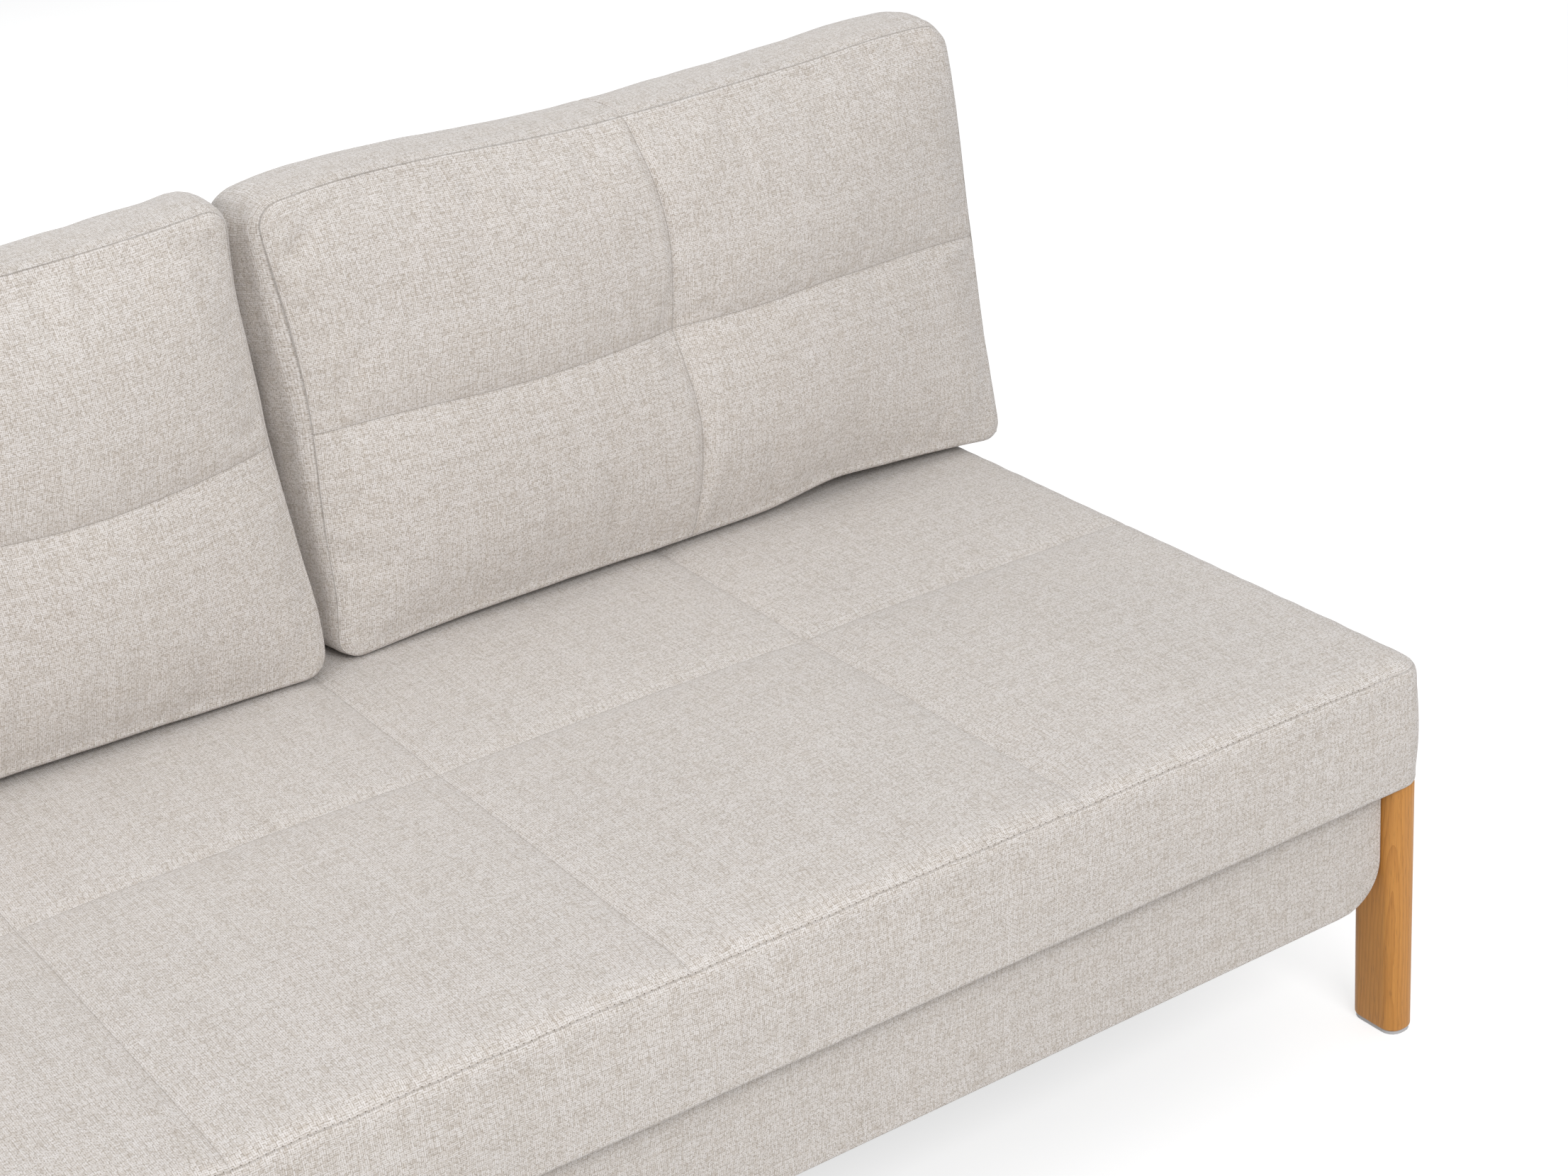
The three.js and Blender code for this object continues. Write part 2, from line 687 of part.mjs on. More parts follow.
// Pawl: a lever on its pin, whose tip rides just clear of the ratchet's teeth
function pawl(side) {
  const tip = ratchetTipRadius + pawlTipClearance;
  const shape = new THREE.Shape([
    point(pawlTipBehind - pawlTipWidth / 2, tip),
    point(pawlTipBehind + pawlTipWidth / 2, tip),
    ...arcPoints(pawlPinBehind, pawlPinAbove, pawlEyeRadius, 0, Math.PI, cornerSteps * 2),
  ]);
  shape.holes.push(roundHole(pawlPinRadius + pivotClearance, pawlPinBehind, pawlPinAbove, roundSides));
  return plateAlongX(shape, side * seatArmInner, side * seatArmOuter);
}

// Leaf spring standing on the back arm, behind the pawl
function pawlSpring(side) {
  const front = pawlPinBehind + pawlEyeRadius + restGap;
  return block(side * (backArmOuter + restGap), side * seatArmOuter, front, front + springThickness,
    pawlPinAbove, pawlPinAbove + springLength);
}

for (const [endName, side] of ends) {
  addPiece(back, `${endName}_back_arm`, backArm(side), zincSteel());
  addPiece(back, `${endName}_pawl`, pawl(side), zincSteel());
  addPiece(back, `${endName}_pawl_spring`, pawlSpring(side), zincSteel());
}

// Stepped pivot rivet through the back arm, the seat arm and the bracket
function pivotRivet(side) {
  const outer = bracketOuter + restGap;
  const inner = backArmInner - restGap;
  const profile = [
    [0, inner - pivotHeadHeight], [pivotHeadRadius, inner - pivotHeadHeight], [pivotHeadRadius, inner],
    [pivotRadius, inner], [pivotRadius, backArmOuter + restGap],
    [pivotCollarRadius, backArmOuter + restGap], [pivotCollarRadius, seatArmInner - restGap],
    [pivotRadius, seatArmInner - restGap], [pivotRadius, seatArmOuter + restGap],
    [pivotCollarRadius, seatArmOuter + restGap], [pivotCollarRadius, bracketInner - restGap],
    [pivotRadius, bracketInner - restGap], [pivotRadius, outer],
    [pivotHeadRadius, outer], [pivotHeadRadius, outer + pivotHeadHeight], [0, outer + pivotHeadHeight],
  ];
  const points = profile.map(([radius, along]) => point(radius, along));
  const turned = new THREE.LatheGeometry(points, roundSides).rotateZ(-Math.PI / 2 * side);
  return turned.translate(0, pivotY, pivotZ);
}

// Base bracket: a flange on the rear board with a web that rises behind the seat to the pivot
function bracket(side) {
  const flangeFront = baseRear + restGap;
  const flangeRear = flangeFront + plateThickness;
  const flangeTop = baseTop - bracketBelowTop;
  const flangeBottom = flangeTop - bracketFlangeHeight;
  const flange = block(side * (bracketOuter - bracketFlangeWidth), side * bracketOuter,
    flangeFront, flangeRear, flangeBottom, flangeTop);
  const shape = new THREE.Shape([
    point(flangeFront, flangeBottom),
    point(flangeFront + bracketWebWidth, flangeBottom),
    ...arcPoints(pivotY, pivotZ, eyeRadius, 0, Math.PI, cornerSteps * 2),
    point(seatDepth + bracketFromSeat, baseTop),
    point(flangeFront, flangeTop),
  ]);
  shape.holes.push(roundHole(holeRadius, pivotY, pivotZ, roundSides));
  const web = plateAlongX(shape, side * bracketInner, side * bracketOuter);
  const x = side * (bracketOuter - bracketStudInset);
  const headRear = flangeRear + bracketHeadHeight;
  const studs = bracketStudHeights().flatMap((z) => [
    barAlongY(studRadius, baseRear - boardInset - bracketStudEmbed, flangeRear, x, z, studSides),
    barAlongY(bracketHeadRadius, flangeRear - plateThickness / 2, headRear, x, z, studSides),
  ]);
  return join([flange, web, ...studs]);
}

function bracketStudHeights() {
  const middle = baseTop - bracketBelowTop - bracketFlangeHeight / 2;
  return [middle - bracketStudSpacing / 2, middle + bracketStudSpacing / 2];
}

for (const [endName, side] of ends) {
  addPiece(base, `${endName}_pivot_rivet`, pivotRivet(side), zincSteel());
  addPiece(base, `${endName}_hinge_bracket`, bracket(side), zincSteel());
}

// Outline of the base box in X and Z, drawn in by an inset, with rounded lower corners
function baseOutline(inset, top) {
  const radius = baseCornerRadius - inset;
  const centreX = baseHalf - baseCornerRadius;
  const corner = arcPoints(centreX, baseBottom + baseCornerRadius, radius, -Math.PI / 2, 0, cornerSteps);
  const right = [...corner, point(baseHalf - inset, top)];
  const left = right.map(({ x, y }) => point(-x, y)).reverse();
  return new THREE.Shape([...right, ...left]);
}

// Board across the box, cut level above its floor
function acrossBoard(front, holes) {
  const whole = panelAlongY(baseOutline(boardInset, boardTop), front, front + boardThickness);
  const below = block(-baseHalf, baseHalf, front - cutOverrun, front + boardThickness + cutOverrun,
    baseBottom - cutOverrun, boardBottom);
  return cut(whole, [below, ...holes]);
}

function bracketStudHoles() {
  return ends.flatMap(([, side]) => bracketStudHeights().map((z) => barAlongY(
    studHoleRadius, baseRear - boardInset - bracketStudEmbed - cutOverrun, baseRear + cutOverrun,
    side * (bracketOuter - bracketStudInset), z, studSides)));
}

const frontCover = panelAlongY(baseOutline(0, baseTop), baseFrontInset, baseFrontInset + coverThickness);
addPiece(base, 'base_front_cover', frontCover, upholstery());

const rearCover = panelAlongY(baseOutline(0, baseTop), baseRear - coverThickness, baseRear);
addPiece(base, 'base_rear_cover', cut(rearCover, bracketStudHoles()), upholstery());

addPiece(base, 'base_front_board', acrossBoard(baseFrontInset + boardInset, []), board());
addPiece(base, 'base_rear_board', acrossBoard(rearBoardFront, bracketStudHoles()), board());

// Places of the two studs that hold each leg
const legPlaces = [
  ['front', legInset, legStudFromEnd],
  ['rear', seatDepth - rearLegInset - legDepth, seatDepth - legStudFromEnd],
];
const legStudHeights = [baseTop - legStudBelowTop, baseTop - legStudBelowTop - legStudSpacing];

function legStuds(side, y, radius, inner, outer) {
  return legStudHeights.map((z) => barAlongX(radius, side * inner, side * outer, y, z, studSides));
}

function legStudHoles(side) {
  return legPlaces.flatMap(([, , y]) => legStuds(side, y, studHoleRadius, endBoardInner - cutOverrun,
    baseHalf + cutOverrun));
}

// End cover, which wraps down the end and round under the base
function endCover(side) {
  const centreX = baseHalf - baseCornerRadius;
  const centreZ = baseBottom + baseCornerRadius;
  const outer = arcPoints(centreX, centreZ, baseCornerRadius, 0, -Math.PI / 2, cornerSteps);
  const inner = arcPoints(centreX, centreZ, baseCornerRadius - coverThickness, -Math.PI / 2, 0, cornerSteps);
  const points = [point(baseHalf, baseTop), ...outer, ...inner, point(baseHalf - coverThickness, baseTop)];
  const shape = new THREE.Shape(points.map(({ x, y }) => point(side * x, y)));
  return panelAlongY(shape, baseFrontInset + boardInset, baseRear - boardInset);
}

// Quarter-round batten that holds the cover's lower corner between the floor and the end board
function cornerBatten(side) {
  const centreX = baseHalf - baseCornerRadius;
  const centreZ = baseBottom + baseCornerRadius;
  const corner = arcPoints(centreX, centreZ, baseCornerRadius - boardInset, -Math.PI / 2, 0, cornerSteps);
  const points = [...corner, point(centreX, centreZ)];
  return panelAlongY(new THREE.Shape(points.map(({ x, y }) => point(side * x, y))),
    frontBoardRear + restGap, rearBoardFront - restGap);
}

for (const [endName, side] of ends) {
  addPiece(base, `base_${endName}_end_cover`, cut(endCover(side), legStudHoles(side)), upholstery());
  const endBoard = block(side * endBoardInner, side * endBoardOuter, frontBoardRear + restGap,
    rearBoardFront - restGap, baseBottom + baseCornerRadius + restGap, boardTop);
  addPiece(base, `base_${endName}_end_board`, cut(endBoard, legStudHoles(side)), board());
  addPiece(base, `base_${endName}_corner_batten`, cornerBatten(side), board());
}

const dividerHalf = boardThickness / 2;
const divider = block(-dividerHalf, dividerHalf, frontBoardRear + restGap, rearBoardFront - restGap,
  boardBottom, boardTop);
addPiece(base, 'base_divider', divider, board());

const floorHalf = baseHalf - baseCornerRadius - restGap;
const floorFront = baseFrontInset + boardInset;
const floorRear = baseRear - boardInset;
const floor = block(-floorHalf, floorHalf, floorFront, floorRear, floorBottom, floorBottom + floorThickness);
addPiece(base, 'base_floor', floor, board());

const dustClothTop = baseBottom + coverThickness;
const baseCloth = block(-floorHalf, floorHalf, floorFront, floorRear, baseBottom, dustClothTop);
addPiece(base, 'base_dust_cloth', baseCloth, dustCloth());

// Oak leg: an upright with rounded corners against the end of the base, on a plastic glide
function legShape(inset) {
  const halfX = legWidth / 2 - inset;
  const halfY = legDepth / 2 - inset;
  const radius = legCornerRadius - inset;
  const corners = [[1, 1, 0], [-1, 1, 1], [-1, -1, 2], [1, -1, 3]];
  return new THREE.Shape(corners.flatMap(([signX, signY, quarter]) => arcPoints(
    signX * (halfX - radius), signY * (halfY - radius), radius,
    quarter * Math.PI / 2, (quarter + 1) * Math.PI / 2, cornerSteps)));
}

function legFixing(side, y) {
  const middle = (legStudHeights[0] + legStudHeights[1]) / 2;
  const plateOuter = endBoardInner - restGap;
  const plate = block(side * (plateOuter - legPlateThickness), side * plateOuter,
    y - legPlateWidth / 2, y + legPlateWidth / 2, middle - legPlateHeight / 2, middle + legPlateHeight / 2);
  const tip = baseHalf + restGap + legStudEmbed;
  return join([plate, ...legStuds(side, y, studRadius, plateOuter - legPlateThickness / 2, tip)]);
}

for (const [endName, side] of ends) {
  for (const [rowName, legFront, studY] of legPlaces) {
    const x = side * (halfLength - legInset - legWidth / 2);
    const y = legFront + legDepth / 2;
    const upright = extrude(legShape(0), seatBottom - legBelowSeat - glideThickness - restGap);
    upright.translate(x, y, glideThickness + restGap);
    const holes = legStuds(side, studY, studHoleRadius, baseHalf - cutOverrun,
      baseHalf + restGap + legStudEmbed + cutOverrun);
    addPiece(base, `${rowName}_${endName}_leg`, cut(upright, holes), oak());
    const glide = extrude(legShape(glideInset), glideThickness).translate(x, y, 0);
    addPiece(base, `${rowName}_${endName}_glide`, glide, greyPlastic());
    addPiece(base, `${rowName}_${endName}_leg_fixing`, legFixing(side, studY), zincSteel());
  }
}

const stopY = baseFrontInset + boardInset + boardThickness / 2;
const stopReach = baseHalf - stopFromEnd;
for (const [name, x] of [['left', -stopReach], ['centre', 0], ['right', stopReach]]) {
  const stop = barAlongZ(stopRadius, boardTop + restGap, seatClothBottom - restGap, x, stopY, roundSides);
  addPiece(base, `${name}_seat_stop`, stop, blackRubber());
}

// Loose cushion: a boxed cover with a cross seam, standing on the seat and leaning on the backrest
function cushion(centreX, forward) {
  const front = -cushionFromPivot - forward;
  const rear = front + cushionThickness;
  const rearCrown = -backFrontFromPivot - backCrown - restGap - rear;
  const bottomAt = (behind) =>
    (seatCrest + restGap - pivotZ + behind * Math.sin(backTilt)) / Math.cos(backTilt);
  const top = bottomAt(-cushionFromPivot) + cushionHeight;
  const place = (across, up, behind, bulge) => {
    const direction = rimDirection(across, up);
    const corner = cushionCornerDraw * Math.pow(Math.abs(across * up), cornerPuff);
    const half = cushionWidth / 2 - cushionSideDraw * puff(up, 1, roundPuff) - corner;
    const bottom = bottomAt(behind);
    const height = top - cushionTopDraw * puff(across, 1, roundPuff) - bottom;
    const lift = Math.max(0, direction.y) * cushionTopCrown * bulge;
    const x = centreX + across * half + direction.x * cushionSideCrown * bulge;
    return new THREE.Vector3(x, behind, bottom + height * (up + 1) / 2 + lift);
  };
  const faceBulge = (across, up) =>
    cushionFaceCrown * puff(across, 1, fullPuff) * puff(up, 1, fullPuff)
    + cushionPanelCrown * puff(across, cushionPanels, fullPuff) * puff(up, cushionPanels, fullPuff);
  const rings = [];
  for (let ring = 1; ring <= cushionBorderRings; ring++) {
    const share = ring / (cushionBorderRings + 1);
    const bulge = Math.sin(Math.PI * share);
    rings.push((across, up) => place(across, up, front + cushionThickness * share, bulge));
  }
  const rearBulge = (across, up) => rearCrown * puff(across, 1, fullPuff) * puff(up, 1, fullPuff);
  return paddedSolid(
    seamLines(cushionPanels, cushionStepsAcross), seamLines(cushionPanels, cushionStepsUp),
    (across, up) => place(across, up, front - faceBulge(across, up), 0), rings,
    (across, up) => place(across, up, rear + rearBulge(across, up), 0));
}

const rightCushionX = halfLength + cushionOverhang - cushionWidth / 2;
const leftCushionX = rightCushionX - cushionWidth - cushionSpacing;
addPiece(back, 'right_back_cushion', cushion(rightCushionX, 0), upholstery());
addPiece(back, 'left_back_cushion', cushion(leftCushionX, leftCushionForward), upholstery());

export default sofa;
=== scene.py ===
import math
import bpy
import numpy as np
from mathutils import Matrix, Vector, noise


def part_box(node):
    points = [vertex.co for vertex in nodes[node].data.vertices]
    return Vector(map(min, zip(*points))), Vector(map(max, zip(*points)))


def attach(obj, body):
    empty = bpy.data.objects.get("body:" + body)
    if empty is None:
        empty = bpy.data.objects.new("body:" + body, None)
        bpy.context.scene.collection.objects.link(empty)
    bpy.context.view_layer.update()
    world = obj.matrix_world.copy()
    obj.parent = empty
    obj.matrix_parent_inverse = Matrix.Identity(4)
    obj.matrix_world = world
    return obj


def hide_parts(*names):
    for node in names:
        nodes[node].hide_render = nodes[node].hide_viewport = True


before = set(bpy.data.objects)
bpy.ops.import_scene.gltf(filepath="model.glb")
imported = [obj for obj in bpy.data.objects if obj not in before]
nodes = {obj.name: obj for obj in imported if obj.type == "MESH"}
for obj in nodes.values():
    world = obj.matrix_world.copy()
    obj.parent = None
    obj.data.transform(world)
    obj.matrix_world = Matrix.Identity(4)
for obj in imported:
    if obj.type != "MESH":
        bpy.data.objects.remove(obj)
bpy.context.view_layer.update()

scene = bpy.context.scene

# ---- Camera: the photograph's place and angle, a standing person's view from the front left


def add_object(name, data):
    """A new object in the scene, for a mesh, a lamp or the camera."""
    made = bpy.data.objects.new(name, data)
    scene.collection.objects.link(made)
    return made


photo_width_px, focal_px, sensor_mm = 2212, 4289, 36
camera_data = bpy.data.cameras.new("photo_camera")
camera_data.sensor_width = sensor_mm
camera_data.lens = sensor_mm * focal_px / photo_width_px
camera = add_object("photo_camera", camera_data)
scene.camera = camera
heading, pitch, roll = math.radians(32.30), math.radians(25.23), math.radians(-4.55)
forward = Vector((math.sin(heading) * math.cos(pitch), math.cos(heading) * math.cos(pitch), -math.sin(pitch)))
level_right = Vector((math.cos(heading), -math.sin(heading), 0))
level_up = level_right.cross(forward)
right = math.cos(roll) * level_right + math.sin(roll) * level_up
up = -math.sin(roll) * level_right + math.cos(roll) * level_up
camera.matrix_world = Matrix((right, up, -forward)).transposed().to_4x4()
camera.location = Vector((-1.1503, -2.5361, 1.8909))

# ---- Studio: white floor without a visible edge, broad soft lamps in front, above, to the left and behind


def new_material(name):
    material = bpy.data.materials.new(name)
    material.use_nodes = True
    material.node_tree.nodes.clear()
    return material, material.node_tree


def add_node(tree, kind, inputs=(), **settings):
    """A node with its settings, and its inputs by name or number, each a value or another node's socket."""
    node = tree.nodes.new(kind)
    for key, value in settings.items():
        setattr(node, key, value)
    for key, value in dict(inputs).items():
        if isinstance(value, bpy.types.NodeSocket):
            tree.links.new(value, node.inputs[key])
        else:
            node.inputs[key].default_value = value
    return node


floor_reach = 30
floor_mesh = bpy.data.meshes.new("studio_floor")
floor_mesh.from_pydata([(x * floor_reach, y * floor_reach, 0) for x, y in [(-1, -1), (1, -1), (1, 1), (-1, 1)]],
                       [], [(0, 1, 2, 3)])
add_object("studio_floor", floor_mesh)
floor_paint, tree = new_material("studio_floor")
path = add_node(tree, "ShaderNodeLightPath").outputs
mirrored = add_node(tree, "ShaderNodeMath", {0: path["Is Camera Ray"], 1: path["Is Glossy Ray"]},
                    operation="MAXIMUM")
looked_at = add_node(tree, "ShaderNodeMath", {0: mirrored.outputs[0], 1: path["Is Transmission Ray"]},
                     operation="MAXIMUM")
matt = add_node(tree, "ShaderNodeBsdfDiffuse", {"Color": (0.72, 0.71, 0.70, 1)})
pale = add_node(tree, "ShaderNodeBsdfDiffuse", {"Color": (0.50, 0.50, 0.50, 1)})
glow = add_node(tree, "ShaderNodeEmission", {"Color": (1, 1, 1, 1), "Strength": 0.66})
lit = add_node(tree, "ShaderNodeAddShader", {0: pale.outputs[0], 1: glow.outputs[0]})
shown = add_node(tree, "ShaderNodeMixShader", {0: looked_at.outputs[0], 1: matt.outputs[0], 2: lit.outputs[0]})
add_node(tree, "ShaderNodeOutputMaterial", {0: shown.outputs[0]})
floor_mesh.materials.append(floor_paint)

world = bpy.data.worlds.new("studio_air")
scene.world = world
world.use_nodes = True
tree = world.node_tree
tree.nodes.clear()
path = add_node(tree, "ShaderNodeLightPath")
air = add_node(tree, "ShaderNodeBackground", {"Color": (0.98, 0.99, 1.0, 1), "Strength": 0.54})
white = add_node(tree, "ShaderNodeBackground", {"Color": (1, 1, 1, 1), "Strength": 1.0})
shown = add_node(tree, "ShaderNodeMixShader", {0: path.outputs["Is Camera Ray"], 1: air.outputs[0],
                                               2: white.outputs[0]})
add_node(tree, "ShaderNodeOutputWorld", {0: shown.outputs[0]})


lamp_white, lamp_aim = (1, 0.99, 0.98), Vector((0, 0, 0.4))
for lamp_name, place, aside, width, height, watts in [
        ("key_box", (-0.3, -4.1, 3.5), 0.1, 2.6, 1.8, 120), ("overhead_box", (0, 0.2, 4.2), 0, 4.0, 3.0, 27),
        ("side_box", (-4.2, -1.4, 2.4), 0, 2.6, 2.0, 38), ("rear_box", (0.6, 4.4, 2.4), 0, 3.4, 2.0, 42)]:
    lamp_data = bpy.data.lights.new(lamp_name, "AREA")
    lamp_data.shape = "RECTANGLE"
    lamp_data.size, lamp_data.size_y = width, height
    lamp_data.energy, lamp_data.color = watts, lamp_white
    lamp = add_object(lamp_name, lamp_data)
    lamp.location = place
    aim = lamp_aim + Vector((aside, 0, 0)) - Vector(place)
    lamp.rotation_euler = aim.to_track_quat("-Z", "Y").to_euler()
scene.view_settings.view_transform = "Standard"

# ---- Upholstery cloth: a loose basket weave of pale slubby yarn over a tan ground. It reads the
# cloth's own map, in metres along and across the bolt, so the yarns follow each panel.


def sums_in(tree):
    """Arithmetic for a node tree: each call adds a math node and gives its output."""
    def math_node(operation, *values, clamp=False):
        return add_node(tree, "ShaderNodeMath", dict(enumerate(values)), operation=operation,
                        use_clamp=clamp).outputs[0]
    return math_node


def parts_of(tree, vector):
    return add_node(tree, "ShaderNodeSeparateXYZ", {0: vector}).outputs


def stretch(tree, place, scale):
    return add_node(tree, "ShaderNodeVectorMath", {0: place, 1: scale}, operation="MULTIPLY").outputs[0]


def speckle(tree, place, scale, detail=2.0, roughness=0.5, reading="3D", output="Fac"):
    return add_node(tree, "ShaderNodeTexNoise", {"Vector": place, "Scale": scale, "Detail": detail,
                                                 "Roughness": roughness}, noise_dimensions=reading).outputs[output]


def mixed(tree, share, first, second, **settings):
    """Two colours in shares, each three numbers or another node's output."""
    first, second = [(*colour, 1) if isinstance(colour, tuple) else colour for colour in (first, second)]
    return add_node(tree, "ShaderNodeMix", {0: share, 6: first, 7: second}, data_type="RGBA",
                    **settings).outputs[2]


def ranged(tree, value, low, high, least=0.0, most=1.0):
    """How far a value is from low to high, read between least and most."""
    return add_node(tree, "ShaderNodeMapRange", {0: value, 1: low, 2: high, 3: least, 4: most}).outputs[0]


def surface(tree, colour, roughness, height, depth, strength=0.4, **more):
    bump = add_node(tree, "ShaderNodeBump", {"Strength": strength, "Distance": depth, "Height": height})
    shader = add_node(tree, "ShaderNodeBsdfPrincipled", {"Base Color": colour, "Roughness": roughness,
                                                         "Normal": bump.outputs[0]})
    for socket, value in more.items():
        shader.inputs[socket.replace("_", " ")].default_value = value
    add_node(tree, "ShaderNodeOutputMaterial", {0: shader.outputs[0]})


def woven_cloth(name, pale, tan, ground, yarn, relief):
    """Two sets of floats cross at random: the higher one hides the other, and the ground shows between."""
    float_length, wander, darkest = 2.7 * yarn, 0.0026, 0.45
    material, tree = new_material(name)
    sums = sums_in(tree)
    bolt = add_node(tree, "ShaderNodeUVMap", uv_map="bolt").outputs[0]

    def mottle(scale, detail, roughness=0.5, output="Fac"):
        return speckle(tree, bolt, scale, detail, roughness, "2D", output)

    centred = add_node(tree, "ShaderNodeVectorMath", {0: mottle(55, 2, output="Color"), 1: (0.5, 0.5, 0.5)},
                       operation="SUBTRACT").outputs[0]
    moved = add_node(tree, "ShaderNodeVectorMath", {0: centred, 1: (wander, wander, 0), 2: bolt},
                     operation="MULTIPLY_ADD").outputs[0]
    axes = parts_of(tree, moved)

    def drawn(first, second, third):
        """Three even random values for a pair of whole numbers."""
        place = add_node(tree, "ShaderNodeCombineXYZ", {0: first, 1: second, 2: third}).outputs[0]
        values = add_node(tree, "ShaderNodeTexWhiteNoise", {"Vector": place}, noise_dimensions="3D").outputs
        return parts_of(tree, values["Color"])

    def rounded_off(run, sharpness):
        """One in the middle of each whole step of a run, falling to nothing at its ends."""
        from_middle = sums("ABSOLUTE", sums("MULTIPLY_ADD", sums("FRACT", run), 2.0, -1.0))
        return sums("SUBTRACT", 1.0, sums("POWER", from_middle, sharpness))

    def floats(across, along, seed):
        """Height and tone of the short raised lengths of one set of yarns."""
        lane = sums("DIVIDE", across, yarn)
        number = sums("FLOOR", lane)
        own = drawn(number, 0.5, seed)
        run = sums("ADD", sums("DIVIDE", along, float_length), sums("MULTIPLY", own[0], 9.0))
        luck = drawn(number, sums("FLOOR", run), seed)
        body = sums("MULTIPLY", rounded_off(lane, 2.2), rounded_off(run, 5.0))
        tone = sums("MULTIPLY_ADD", luck[1], 0.5, sums("MULTIPLY", own[1], 0.5))
        lift = sums("MULTIPLY_ADD", luck[0], 0.5, sums("MULTIPLY_ADD", own[2], 0.15, 0.35))
        return sums("MULTIPLY", body, lift), tone

    warp, warp_tone = floats(axes[0], axes[1], 1.5)
    weft, weft_tone = floats(axes[1], axes[0], 7.5)
    height = sums("MAXIMUM", warp, weft)
    over = sums("GREATER_THAN", warp, weft)
    tone = sums("MULTIPLY_ADD", over, sums("SUBTRACT", warp_tone, weft_tone), weft_tone)
    fibres = mottle(2400, 2, 0.7)

    def slub(across, along):
        """Thick and thin places that run along a yarn."""
        return speckle(tree, stretch(tree, bolt, (across, along, 0)), 1.0, 1.0, reading="2D")

    slubs = sums("ADD", slub(420, 55), slub(55, 420))
    bright = ranged(tree, sums("MULTIPLY_ADD", fibres, 0.5, sums("ADD", tone, slubs)), 1.20, 2.00)
    raised = sums("MULTIPLY_ADD", fibres, 0.3, height)
    cloth = mixed(tree, ranged(tree, raised, 0.24, 0.74), ground, mixed(tree, bright, tan, pale))
    warmth = ranged(tree, mottle(24, 3, 0.6), 0.42, 0.72, most=0.12)
    heather = mixed(tree, warmth, cloth, (0.97, 0.93, 0.87), blend_type="MULTIPLY")
    level = ranged(tree, mottle(3.5, 3), 0.3, 0.7, 0.985, 1.015)
    evened = add_node(tree, "ShaderNodeVectorMath", {0: heather, "Scale": level}, operation="SCALE").outputs[0]
    # A point attribute darkens the cloth towards a deep tan: dark seam lines, and painted shade under the
    # cushions, in the crevice between them, under the seat's hem and on the base cover under the seat.
    seam = add_node(tree, "ShaderNodeAttribute", attribute_name="seam").outputs["Fac"]
    surface(tree, mixed(tree, seam, evened, tuple(darkest * c for c in tan)), 0.92, raised, 0.45 * yarn, relief,
            Sheen_Weight=0.25, Sheen_Roughness=0.55, Specular_IOR_Level=0.25)
    return material


upholstery = woven_cloth("upholstery_cloth", pale=(0.745, 0.71, 0.69), tan=(0.600, 0.55, 0.505),
                         ground=(0.35, 0.30, 0.25), yarn=0.0020, relief=0.55)

# ---- Seat pad: a quilted mattress of foam in a boxed cover. Its top is sewn through in eight puffed
# panels, its front and end borders hang just past the frame, and its hem is turned under.
seat_low, seat_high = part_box("seat_pad")
seat_middle = (seat_low.x + seat_high.x) / 2
seat_half = (seat_high.x - seat_low.x) / 2
seat_front, seat_rear = seat_low.y, seat_high.y
seat_depth = seat_rear - seat_front
seat_centre_y = (seat_front + seat_rear) / 2


def seam_spaced(length, panels, finest, coarsest):
    """Places along a quilted side, close together beside each seam and each end."""
    places = []
    panel = length / panels
    for number in range(panels):
        steps, at, step = [0.0], 0.0, finest
        while at + step < panel / 2:
            at += step
            steps.append(at)
            step = min(step * 1.35, coarsest)
        scale = (panel / 2) / (at + step / 2)
        half = [s * scale for s in steps]
        places += [number * panel + s for s in half]
        places += [(number + 1) * panel - s for s in reversed(half[1:])]
    return np.array(places + [length])


def round_corners(x, y, half_x, half_y, radius):
    """Moves the grid points of a rectangle so that its corners are round."""
    past_x, past_y = np.abs(x) - (half_x - radius), np.abs(y) - (half_y - radius)
    corner = (past_x > 0) & (past_y > 0)
    share = np.where(corner, np.maximum(past_x, past_y) / np.maximum(np.hypot(past_x, past_y), 1e-9), 1.0)
    new_x = np.where(corner, half_x - radius + past_x * share, np.abs(x)) * np.sign(x)
    new_y = np.where(corner, half_y - radius + past_y * share, np.abs(y)) * np.sign(y)
    return new_x, new_y


def rim_of(grid):
    """The outer points of a grid, once round from its first corner."""
    return np.concatenate([grid[0, :-1], grid[:-1, -1], grid[-1, :0:-1], grid[:0:-1, 0]])


def outward(rim_x, rim_y, half_x, half_y, radius):
    """Directions that point away from a round-cornered rectangle, one for each rim point."""
    past_x = np.maximum(np.abs(rim_x) - (half_x - radius), 0)
    past_y = np.maximum(np.abs(rim_y) - (half_y - radius), 0)
    length = np.maximum(np.hypot(past_x, past_y), 1e-9)
    return np.stack([past_x / length * np.sign(rim_x), past_y / length * np.sign(rim_y)], 1)


def ripples(places, scale, seed):
    """Smooth noise, one value for each place, in -1 to 1."""
    places = np.asarray(places, float)
    flat = places.reshape(-1, places.shape[-1]) * scale
    values = [noise.noise(Vector((p[0], p[1], seed))) for p in flat.tolist()]
    return np.array(values).reshape(places.shape[:-1])


